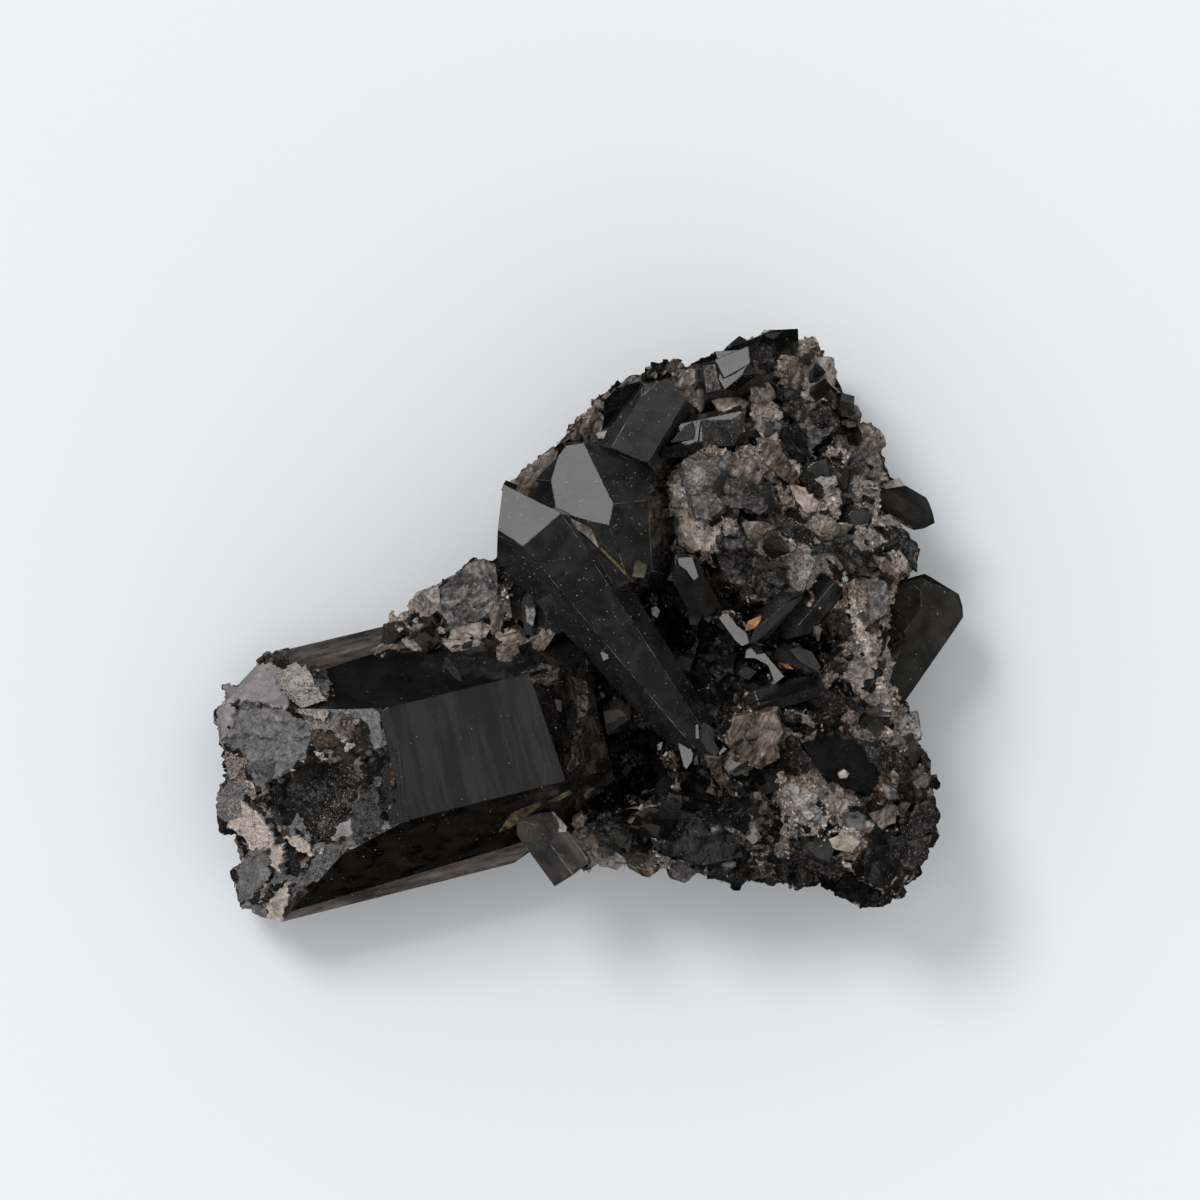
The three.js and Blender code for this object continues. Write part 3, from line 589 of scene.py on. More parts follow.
CHUNKS = [shape_inside(chunk(seed)) for seed in range(300, 318)]
PRISMS = [
    shape_inside(quartz(1.0, 0.8 + 0.3 * source.random(), 3.2, 0.12, source.random(12)))
    for source in (np.random.default_rng(seed) for seed in range(400, 410))
]


def turned(axis, spin):
    """A rotation that takes +Z to axis, after a spin about it."""
    axis = unit(np.asarray(axis, float))
    helper = np.array([0, 0, 1.0]) if abs(axis[2]) < 0.9 else np.array([1.0, 0, 0])
    side = unit(np.cross(helper, axis))
    other = np.cross(axis, side)
    base = np.stack([side, other, axis], axis=1)
    c, s = math.cos(spin), math.sin(spin)
    return base @ np.array([[c, -s, 0], [s, c, 0], [0, 0, 1.0]])


class Heap:
    """Many small shapes gathered into one mesh."""

    def __init__(self):
        self.points, self.faces, self.slots, self.count = [], [], [], 0

    def add(self, shape, place, rotation=np.eye(3), size=1.0, slot=0):
        points, faces = shape
        moved = (points * size) @ rotation.T + place
        self.points.append(moved)
        self.faces += [[self.count + i for i in face] for face in faces]
        self.slots += [slot] * len(faces)
        self.count += len(points)

    def piece(self, name, materials):
        return mesh_object(name, np.vstack(self.points), self.faces, materials, self.slots)


def inside_box(points, margin=0.0):
    low, high = (np.array(corner) / MM for corner in CAD_BOX)
    return np.clip(points, low - margin, high + margin)


STEEPEST = 1.2      # the greatest slope that a face takes over from the rock below it


class Plate:
    """A flat face seen in the photograph, on a low block that stands in the rock."""

    def __init__(self, tree, rise, lean, outline, depth):
        self.outline = outline
        corners = np.array([from_photo(*pixel) for pixel in outline])
        ahead = np.roll(corners, -1, axis=0)
        if (corners[:, 0] * ahead[:, 1] - ahead[:, 0] * corners[:, 1]).sum() < 0:
            corners = corners[::-1]
        middle = corners.mean(axis=0)
        probes = np.vstack([0.7 * corners + 0.3 * middle, middle])
        found = [height_below(tree, *probe) for probe in probes]
        probes = np.array([probe for probe, height in zip(probes, found) if height is not None])
        heights = np.array([height for height in found if height is not None])
        if lean is None:
            fit, _, _, _ = np.linalg.lstsq(np.column_stack([probes, np.ones(len(probes))]), heights, rcond=None)
            self.slope = fit[:2] * min(1, STEEPEST / max(np.hypot(*fit[:2]), 1e-6))
        else:
            normal = leaning(*lean)
            self.slope = -normal[:2] / normal[2]
        self.level = (heights - probes @ self.slope).mean() + rise
        top = np.column_stack([corners, self.height(corners)])
        foot = middle + (corners - middle) * 1.05
        below = np.column_stack([foot, np.minimum(top[:, 2], heights.min()) - depth])
        count = len(corners)
        sides = [[i, count + i, count + (i + 1) % count, (i + 1) % count] for i in range(count)]
        bottom = [2 * count - 1 - i for i in range(count)]
        self.shape = (np.vstack([top, below]), [list(range(count)), *sides, bottom])

    def height(self, places):
        return places[:, :2] @ self.slope + self.level


def plate_block(plates, names, materials):
    """One mesh of all the plates, with a material slot for each look."""
    heap = Heap()
    for (look, _, _, _), plate in plates:
        heap.add(plate.shape, np.zeros(3), slot=names.index(look))
    heap.points = [inside_box(points, -0.05) for points in heap.points]
    return heap.piece("plates", materials)


def covered(points, plates):
    """Which points have a plate over them or close by."""
    over = np.zeros(len(points), bool)
    for _, plate in plates:
        over |= inside_outline(points, plate.outline)
        over |= distance_to_line(points, [*plate.outline, plate.outline[0]]) < PLATE_MARGIN
    return over


def lowered_under(points, plates):
    """Presses points that stand through a plate down below it."""
    points = points.copy()
    for _, plate in plates:
        under = inside_outline(points, plate.outline)
        limit = plate.height(points) - PLATE_CLEARANCE
        pressed = under & (points[:, 2] > limit)
        points[pressed, 2] = limit[pressed]
    return points


class Surface:
    """Random places on a mesh's faces, outside the plates and the crystals."""

    def __init__(self, obj, plates=(), crystals=None):
        mesh = obj.data
        mesh.calc_loop_triangles()
        corners = np.empty(len(mesh.loop_triangles) * 3, dtype=np.int32)
        mesh.loop_triangles.foreach_get("vertices", corners)
        points, _ = arrays_of(mesh)
        self.corners = points[corners.reshape(-1, 3)]
        across = np.cross(self.corners[:, 1] - self.corners[:, 0], self.corners[:, 2] - self.corners[:, 0])
        self.areas = np.linalg.norm(across, axis=1) / 2
        self.normals = unit(across)
        self.middles = self.corners.mean(axis=1)
        under = covered(self.middles, plates)
        if crystals is not None:
            under |= heights_over(crystals, self.middles) > self.middles[:, 2]
        self.open = np.where(under & (self.normals[:, 2] > 0), 0.0, 1.0)

    def distances(self, plates):
        """How far each face's middle lies from the nearest plate, seen from above, in mm."""
        nearest = np.full(len(self.middles), np.inf)
        for _, plate in plates:
            away = distance_to_line(self.middles, [*plate.outline, plate.outline[0]])
            away[inside_outline(self.middles, plate.outline)] = 0
            nearest = np.minimum(nearest, away)
        return nearest

    def places(self, count, weight):
        chance = self.areas * np.clip(weight, 0, None)
        picked = rng.choice(len(chance), size=count, p=chance / chance.sum())
        a, b = rng.random((2, count))
        over = a + b > 1
        a[over], b[over] = 1 - a[over], 1 - b[over]
        one, two, three = (self.corners[picked, i] for i in range(3))
        return one + a[:, None] * (two - one) + b[:, None] * (three - one), self.normals[picked]


# Materials

class Nodes:
    """Short ways to build a material's nodes. Sizes are in mm."""

    def __init__(self, name):
        self.material = bpy.data.materials.new(name)
        self.material.use_nodes = True
        self.tree = self.material.node_tree
        self.shader = self.tree.nodes["Principled BSDF"]
        self.output = self.tree.nodes["Material Output"]
        self.place = self.node("ShaderNodeTexCoord").outputs["Object"]

    def node(self, kind, **settings):
        made = self.tree.nodes.new(kind)
        for key, value in settings.items():
            setattr(made, key, value)
        return made

    def set(self, socket, value):
        """Puts a plain value or another node's output on a socket."""
        if isinstance(value, bpy.types.NodeSocket):
            self.tree.links.new(value, socket)
        else:
            socket.default_value = value

    def shade(self, **values):
        for key, value in values.items():
            self.set(self.shader.inputs[key.replace("_", " ").title().replace("Ior", "IOR")], value)

    def value(self, name):
        return self.node("ShaderNodeAttribute", attribute_name=name).outputs["Fac"]

    def noise(self, size, detail=3.0, roughness=0.55, distortion=0.0, place=None):
        made = self.node("ShaderNodeTexNoise")
        self.set(made.inputs["Vector"], place or self.place)
        made.inputs["Scale"].default_value = 1 / (size * MM)
        made.inputs["Detail"].default_value = detail
        made.inputs["Roughness"].default_value = roughness
        made.inputs["Distortion"].default_value = distortion
        return made.outputs["Fac"]

    def cells(self, size):
        made = self.node("ShaderNodeTexVoronoi")
        self.set(made.inputs["Vector"], self.place)
        made.inputs["Scale"].default_value = 1 / (size * MM)
        return made

    def stretched(self, turn, scale):
        made = self.node("ShaderNodeMapping", vector_type="TEXTURE")
        self.set(made.inputs["Vector"], self.place)
        made.inputs["Rotation"].default_value = turn
        made.inputs["Scale"].default_value = scale
        return made.outputs["Vector"]

    def math(self, operation, a, b=0.0, clamp=False):
        made = self.node("ShaderNodeMath", operation=operation, use_clamp=clamp)
        self.set(made.inputs[0], a)
        self.set(made.inputs[1], b)
        return made.outputs[0]

    def step(self, value, low, high, to_low=0.0, to_high=1.0):
        made = self.node("ShaderNodeMapRange", interpolation_type="SMOOTHSTEP")
        self.set(made.inputs["Value"], value)
        made.inputs["From Min"].default_value = low
        made.inputs["From Max"].default_value = high
        made.inputs["To Min"].default_value = to_low
        made.inputs["To Max"].default_value = to_high
        return made.outputs["Result"]

    def ramp(self, value, stops):
        made = self.node("ShaderNodeValToRGB")
        self.set(made.inputs["Fac"], value)
        elements = made.color_ramp.elements
        while len(elements) < len(stops):
            elements.new(0.5)
        for element, (position, colour) in zip(elements, stops):
            element.position = position
            element.color = (*colour, 1)
        return made.outputs["Color"]

    def mix(self, share, a, b):
        made = self.node("ShaderNodeMix", data_type="RGBA")
        self.set(made.inputs["Factor"], share)
        for socket, value in ((made.inputs["A"], a), (made.inputs["B"], b)):
            self.set(socket, (*value, 1) if isinstance(value, tuple) else value)
        return made.outputs["Result"]

    def facets(self, size):
        """Heights that tilt each small cell its own way, so that broken glassy quartz glints."""
        cell = self.cells(size)
        random = self.node("ShaderNodeVectorMath", operation="SUBTRACT")
        self.set(random.inputs[0], cell.outputs["Color"])
        random.inputs[1].default_value = (0.5, 0.5, 0.5)
        away = self.node("ShaderNodeVectorMath", operation="SUBTRACT")
        self.set(away.inputs[0], self.place)
        self.set(away.inputs[1], cell.outputs["Position"])
        dot = self.node("ShaderNodeVectorMath", operation="DOT_PRODUCT")
        self.set(dot.inputs[0], random.outputs[0])
        self.set(dot.inputs[1], away.outputs[0])
        return dot.outputs["Value"]

    def along_x(self):
        made = self.node("ShaderNodeSeparateXYZ")
        self.set(made.inputs[0], self.place)
        return made.outputs[0]

    def bump(self, height, depth, normal=None, strength=1.0):
        """Depth is the height in mm that a value of 1 stands for."""
        made = self.node("ShaderNodeBump")
        made.inputs["Strength"].default_value = strength
        made.inputs["Distance"].default_value = depth * MM
        self.set(made.inputs["Height"], height)
        if normal is not None:
            self.set(made.inputs["Normal"], normal)
        return made.outputs["Normal"]

    def absorb(self, colour, per_mm):
        """Light lost inside the crystal. per_mm is the share lost in each mm where colour is black."""
        made = self.node("ShaderNodeVolumeAbsorption")
        made.inputs["Color"].default_value = (*colour, 1)
        made.inputs["Density"].default_value = per_mm / MM
        self.tree.links.new(made.outputs["Volume"], self.output.inputs["Volume"])


GREY_DUST = (0.42, 0.4, 0.39)
CLEAR = (0.96, 0.95, 0.94)       # what clear quartz lets through at its faces
SMOKED = (0.13, 0.127, 0.124)    # the same for smoky quartz, which is nearly black inside
CLOUDED = (0.17, 0.148, 0.125)
DIM = (0.5, 0.47, 0.44)
QUARTZ_IOR = 1.544


def clear_quartz(name, colour, per_mm, roughness=(0.02, 0.06), film=0.016, dust=0.12, striated=None, body=CLEAR,
                 patches=(0.6, 1.5)):
    """Smoky quartz: see-through where thin, with a faint dusty film, dust specks and faint growth marks; on striated
    faces, bands of film that paint the sheen's streaks.
    """
    make = Nodes(name)
    film = film / body[0]
    cloud = make.noise(4.0, 4.0, 0.6, 0.8)
    specks = make.step(make.noise(0.45, 2.0, 0.5), 0.71, 0.77)
    film_and_sheen = make.step(cloud, 0.3, 0.7, film * patches[0], film * patches[1])
    marks = make.noise(9.0, 3.0, 0.5, 0.3)
    normal = make.bump(marks, 0.012)
    if striated is not None:
        turn, across, along = striated
        streaks = make.noise(1.0, 4.0, 0.65, 0.2, make.stretched(turn, (across, along, along)))
        bands = make.noise(1.0, 2.0, 0.5, 0.1, make.stretched(turn, (across * 4, along, along)))
        normal = make.bump(streaks, 0.008, normal)
        mixed = make.math("ADD", make.math("MULTIPLY", streaks, 0.5), make.math("MULTIPLY", bands, 0.5))
        # painted sheen: more film along the streaks, for the bands of sheen across the face
        film_and_sheen = make.math("ADD", film_and_sheen, make.step(mixed, 0.43, 0.58, 0.0, 0.013 / body[0]))
    cover = make.math("ADD", film_and_sheen, make.math("MULTIPLY", specks, dust), True)
    make.shade(
        base_color=make.mix(specks, body, GREY_DUST),
        roughness=make.math("ADD", make.step(cloud, 0.35, 0.75, *roughness), make.math("MULTIPLY", specks, 0.3)),
        transmission_weight=make.math("SUBTRACT", 1.0, cover, True),
        ior=QUARTZ_IOR,
        normal=normal,
    )
    make.absorb(colour, per_mm)
    return make.material


ROCK_FROST = [(0.32, (0.035, 0.033, 0.032)), (0.52, (0.115, 0.108, 0.105)), (0.72, (0.28, 0.262, 0.25))]
TIP_FROST = [(0.32, (0.1, 0.095, 0.098)), (0.52, (0.195, 0.187, 0.19)), (0.72, (0.4, 0.385, 0.385))]


def broken_quartz(name, dark, pale, frost):
    """Broken rock quartz: dark glassy faces, grey frosted ones, and beige sugary grains between them."""
    make = Nodes(name)
    fine = make.noise(0.55, 4.0, 0.65)
    grain = make.noise(0.28, 2.0, 0.6)
    broad = make.noise(2.6, 4.0, 0.6, 0.5)
    tone = make.value("tone")
    glass = make.ramp(make.math("ADD", make.math("MULTIPLY", tone, 0.7), make.math("MULTIPLY", broad, 0.35)), [
        (0.15, dark), (0.55, (0.013, 0.0118, 0.0112)), (0.85, (0.04, 0.033, 0.029)),
    ])
    frosted = make.ramp(make.math("ADD", make.math("MULTIPLY", fine, 0.55), make.math("MULTIPLY", broad, 0.45)), frost)
    sugar = make.ramp(make.math("ADD", make.math("MULTIPLY", grain, 0.5), make.math("MULTIPLY", fine, 0.5)), [
        (0.36, (0.045, 0.032, 0.026)), (0.46, (0.16, 0.124, 0.104)), (0.56, (0.32, 0.262, 0.226)), (0.68, pale),
    ])
    cream = make.ramp(make.math("ADD", make.math("MULTIPLY", grain, 0.4), make.math("MULTIPLY", fine, 0.6)), [
        (0.34, (0.22, 0.165, 0.125)), (0.48, (0.44, 0.36, 0.3)), (0.62, (0.66, 0.59, 0.53)),
    ])
    rust = make.ramp(fine, [(0.32, (0.03, 0.018, 0.012)), (0.55, (0.095, 0.066, 0.048)), (0.76, (0.22, 0.17, 0.135))])
    lavender = make.ramp(broad, [(0.3, (0.18, 0.163, 0.165)), (0.5, (0.27, 0.25, 0.252)), (0.72, (0.4, 0.365, 0.355))])

    def edged(look, spread=0.55, crumbs=1.2):
        ragged = make.math("ADD", make.value(look), make.math("MULTIPLY", make.math("SUBTRACT", broad, 0.5), spread))
        crumbly = make.math("ADD", ragged, make.math("MULTIPLY", make.math("SUBTRACT", grain, 0.5), crumbs))
        return make.step(crumbly, 0.42, 0.6)

    shares = {
        "frost": make.math("MULTIPLY", edged("frost"), 0.85),
        "rust": make.math("MULTIPLY", edged("rust"), 0.8),
        "dark": edged("dark", 0.3, 0.6),
        "sugar": edged("sugar", 0.6, 1.4),
        "cream": edged("cream", 0.4, 0.7),
        "smooth": edged("smooth", 0.2, 0.2),
    }
    colour = make.mix(shares["frost"], glass, frosted)
    colour = make.mix(shares["rust"], colour, rust)
    colour = make.mix(make.math("MULTIPLY", shares["dark"], 0.9), colour, glass)
    for look, shade in (("sugar", sugar), ("cream", cream), ("smooth", lavender)):
        colour = make.mix(shares[look], colour, shade)
    rough = make.step(broad, 0.3, 0.7, 0.06, 0.2)
    for look, amount in (("frost", 0.2), ("sugar", 0.35), ("cream", 0.35)):
        rough = make.math("ADD", rough, make.math("MULTIPLY", shares[look], amount), True)
    normal = make.bump(make.facets(1.1), 240)
    normal = make.bump(make.facets(0.45), 260, normal)
    normal = make.bump(fine, 0.09, normal)
    normal = make.bump(grain, 0.06, normal)
    make.shade(base_color=colour, roughness=rough, ior=QUARTZ_IOR, normal=normal)
    return make.material


def stone(name, colours, size=0.9, roughness=(0.25, 0.45), relief=0.06, stretch=None, flecks=0.0, facets=110, lean=0.0):
    """A face of solid broken quartz: colours from dark to pale in soft mottles, with pale flecks."""
    make = Nodes(name)
    place = None
    if stretch is not None:
        turn, along = stretch
        place = make.stretched((0, 0, math.radians(turn)), (along, 1, 1))
    mottle = make.noise(size, 5.0, 0.62, 0.4, place)
    broad = make.noise(size * 4, 3.0, 0.5, 0.3, place)
    mixed = make.math("ADD", make.math("MULTIPLY", mottle, 0.6), make.math("MULTIPLY", broad, 0.4))
    positions = [0.38 + 0.26 * i / (len(colours) - 1) for i in range(len(colours))]
    colour = make.ramp(mixed, list(zip(positions, colours)))
    if flecks:
        specks = make.step(make.noise(0.3, 2.0, 0.6), 0.65, 0.71, 0.0, flecks)
        colour = make.mix(specks, colour, (0.46, 0.42, 0.39))
    normal = make.bump(make.facets(size * 1.6), facets)
    if lean:
        normal = make.bump(make.along_x(), lean / MM, normal)
    normal = make.bump(mottle, relief * 2, normal)
    normal = make.bump(make.noise(0.3, 3.0, 0.6), relief, normal)
    make.shade(
        base_color=colour,
        roughness=make.step(mottle, 0.35, 0.65, *roughness),
        ior=QUARTZ_IOR,
        normal=normal,
    )
    return make.material


def grains(name, colours, roughness=0.55, size=0.7):
    """Loose-looking sugary grains: small, dull or glassy, each with its own shade."""
    make = Nodes(name)
    separate = make.node("ShaderNodeSeparateColor")
    make.set(separate.inputs[0], make.cells(size).outputs["Color"])
    count = len(colours)
    stops = [(0.12 + 0.76 * i / (count - 1), colour) for i, colour in enumerate(colours)]
    make.shade(
        base_color=make.ramp(separate.outputs[0], stops),
        roughness=make.step(make.noise(0.4, 2.0), 0.3, 0.7, roughness - 0.15, roughness + 0.15),
        ior=QUARTZ_IOR,
        normal=make.bump(make.noise(0.2, 3.0, 0.7), 0.06),
    )
    return make.material


SMOKY = clear_quartz("smoky quartz", (0.4, 0.29, 0.2), 0.5, film=0.02, body=SMOKED)
CLEAN = clear_quartz("clean smoky quartz", (0.4, 0.29, 0.2), 0.5, film=0.008, dust=0.08, body=SMOKED)
LOWER = clear_quartz(
    "clouded smoky quartz", (0.44, 0.32, 0.22), 0.4, film=0.0065, dust=0.08, body=CLOUDED, patches=(0.5, 2.4))
# The front face: its striations are bumps, and the bands of sheen along them are painted in the film
STRIATED_SHEEN = clear_quartz(
    "smoky quartz, striated, painted sheen", (0.42, 0.3, 0.2), 0.4, film=0.004, dust=0.08, body=SMOKED,
    striated=((0, 0, math.radians(13.7)), 0.7, 16.0),
)
BROWN = clear_quartz("brown quartz", (0.5, 0.36, 0.26), 0.34, roughness=(0.05, 0.2), film=0.02)
DEEP_BROWN = clear_quartz("dark brown quartz", (0.44, 0.36, 0.3), 0.6, roughness=(0.04, 0.14), film=0.03, body=DIM)
MILKY = clear_quartz("milky brown quartz", (0.5, 0.39, 0.32), 0.2, roughness=(0.15, 0.35), film=0.035)
GREY_BROWN = clear_quartz("grey brown quartz", (0.47, 0.37, 0.31), 0.42, roughness=(0.1, 0.25), film=0.03)
ROCK = broken_quartz("broken quartz", (0.004, 0.0037, 0.0037), (0.56, 0.49, 0.44), ROCK_FROST)
TIP = broken_quartz("broken crystal tip", (0.006, 0.006, 0.0065), (0.62, 0.56, 0.51), TIP_FROST)
SUGAR = grains("sugary quartz", [(0.06, 0.042, 0.033), (0.2, 0.155, 0.125), (0.36, 0.3, 0.26), (0.52, 0.46, 0.41)])
CREAM = grains("cream quartz", [(0.34, 0.27, 0.22), (0.52, 0.44, 0.38), (0.68, 0.61, 0.55)], 0.6)
PALE_DUST = grains("pale dust", [(0.5, 0.48, 0.46), (0.7, 0.68, 0.66)])
FROST = grains("frosted grey quartz", [(0.03, 0.028, 0.027), (0.08, 0.075, 0.072), (0.2, 0.187, 0.178)], 0.3, 1.4)
GLASSY = grains("dark glassy quartz", [(0.004, 0.0037, 0.0037), (0.012, 0.0108, 0.01), (0.04, 0.033, 0.028)], 0.2, 1.8)

BLACK = stone(
    "black glassy break", [(0.003, 0.003, 0.003), (0.008, 0.0075, 0.0075), (0.022, 0.02, 0.019)], 1.6, (0.12, 0.25),
    0.02, flecks=0.3, facets=60)
SOOTY = stone(
    "smooth dark break", [(0.0045, 0.0042, 0.0041), (0.0095, 0.0089, 0.0087), (0.027, 0.0248, 0.0238)], 2.2, (0.12, 0.3),
    0.02, flecks=0.25, facets=60)
DUSTY = stone(
    "dark dusty break", [(0.0078, 0.0071, 0.0068), (0.021, 0.019, 0.018), (0.082, 0.073, 0.068)], 0.8, (0.1, 0.28),
    0.04, flecks=0.7, facets=180)
ASH = stone(
    "grey break", [(0.018, 0.0165, 0.016), (0.054, 0.05, 0.048), (0.17, 0.158, 0.15)], 0.7, (0.12, 0.3),
    0.04, flecks=0.6, facets=180)
SLATE = stone(
    "pale grey break", [(0.035, 0.0325, 0.032), (0.1, 0.094, 0.091), (0.27, 0.25, 0.238)], 0.7, (0.12, 0.3),
    0.04, flecks=0.6, facets=180)
UMBER = stone(
    "dark brown break", [(0.004, 0.003, 0.0025), (0.01, 0.0075, 0.006), (0.026, 0.0195, 0.0155), (0.07, 0.055, 0.046)], 0.9,
    (0.15, 0.35), 0.05, flecks=0.4)
TAN = stone(
    "tan break", [(0.045, 0.033, 0.026), (0.12, 0.094, 0.078), (0.23, 0.188, 0.16), (0.42, 0.36, 0.32)], 0.8,
    (0.2, 0.4), stretch=(60, 2.0), flecks=0.4)
ROSY = stone(
    "rosy break", [(0.09, 0.072, 0.062), (0.2, 0.168, 0.147), (0.34, 0.292, 0.262), (0.52, 0.46, 0.425)], 0.8,
    (0.2, 0.4), stretch=(60, 1.6), flecks=0.4)
FROSTED = stone(
    "frosted break", [(0.05, 0.046, 0.045), (0.16, 0.148, 0.142), (0.34, 0.31, 0.29), (0.52, 0.47, 0.44)], 0.5,
    flecks=0.5)
BROWNISH = stone(
    "brown break", [(0.02, 0.013, 0.009), (0.07, 0.05, 0.038), (0.15, 0.115, 0.092), (0.32, 0.26, 0.225)], 0.8,
    (0.2, 0.4), stretch=(60, 2.2), flecks=0.3)
CREAMY = stone("cream break", [(0.2, 0.155, 0.12), (0.4, 0.33, 0.275), (0.6, 0.53, 0.47)], 0.7, (0.35, 0.55), 0.08)
HONEY = stone("honey quartz", [(0.03, 0.02, 0.01), (0.085, 0.06, 0.03), (0.19, 0.145, 0.085)], 0.8, (0.1, 0.25), 0.02)
# The large crystal's thin edges: their colours are a painted glow, for light seen through the thin quartz
SLIVER_GLOW = stone(
    "thin translucent edge, painted glow", [(0.03, 0.023, 0.018), (0.07, 0.055, 0.046), (0.11, 0.088, 0.076), (0.18, 0.15, 0.135)],
    1.6, (0.2, 0.4), 0.02, stretch=(13.7, 3.0))
# The right end of the large crystal's front face: cracked, and painted near black as shade where its sheen fades
CRACKED_END_SHADE = stone(
    "cracked end, painted shade", [(0.0015, 0.0013, 0.0012), (0.004, 0.0034, 0.003), (0.01, 0.008, 0.007), (0.03, 0.024, 0.02)], 1.3,
    (0.1, 0.25), 0.01, stretch=(100, 2.5), flecks=0.2, facets=60, lean=-0.3)
ORANGE = stone("orange glow", [(0.1, 0.035, 0.012), (0.3, 0.13, 0.05), (0.5, 0.28, 0.14)], 1.4, (0.1, 0.25), 0.02)
OLIVE = stone("olive glow", [(0.015, 0.014, 0.008), (0.04, 0.036, 0.022), (0.1, 0.092, 0.06)], 1.0, (0.1, 0.25), 0.02)
# Worn crystal edges: pale partly as wear and partly as a painted edge highlight
WORN_EDGE_HIGHLIGHT = stone(
    "worn crystal edge, painted highlight", [(0.008, 0.0075, 0.007), (0.03, 0.027, 0.025), (0.15, 0.135, 0.12), (0.34, 0.31, 0.28)], 1.6,
    (0.2, 0.4), 0.02)

ROUGH_LOOKS = {
    "black": BLACK, "sooty": SOOTY, "dusty": DUSTY, "ash": ASH, "slate": SLATE, "frosted": FROSTED, "brown": BROWNISH,
    "tan": TAN, "rosy": ROSY, "umber": UMBER, "cream": CREAMY,
}
SMOOTH_LOOKS = ("black", "sooty")
SMOOTH_RELIEF = 0.35        # how much of the rock faces' relief the smooth ones have
CRISP_LOOKS = {
    "smoky": SMOKY, "clean": CLEAN, "milky": MILKY, "honey": HONEY, "orange": ORANGE, "olive": OLIVE,
    "glass": BLACK, "grey": DUSTY, "slate": SLATE, "pale": FROSTED, "tan": TAN, "cream": CREAMY,
}


# The faces that the photograph shows on the rock: what each is made of, how far it stands out in mm, which way it
# leans (azimuth and tilt in degrees, or None to follow the rock below), and its outline in pixels

TO_WINDOW = (128, 17.5)     # mirrors the window card
LEVEL = (0, 3)              # mirrors the ceiling card
AWAY = (-50, 34)            # mirrors nothing

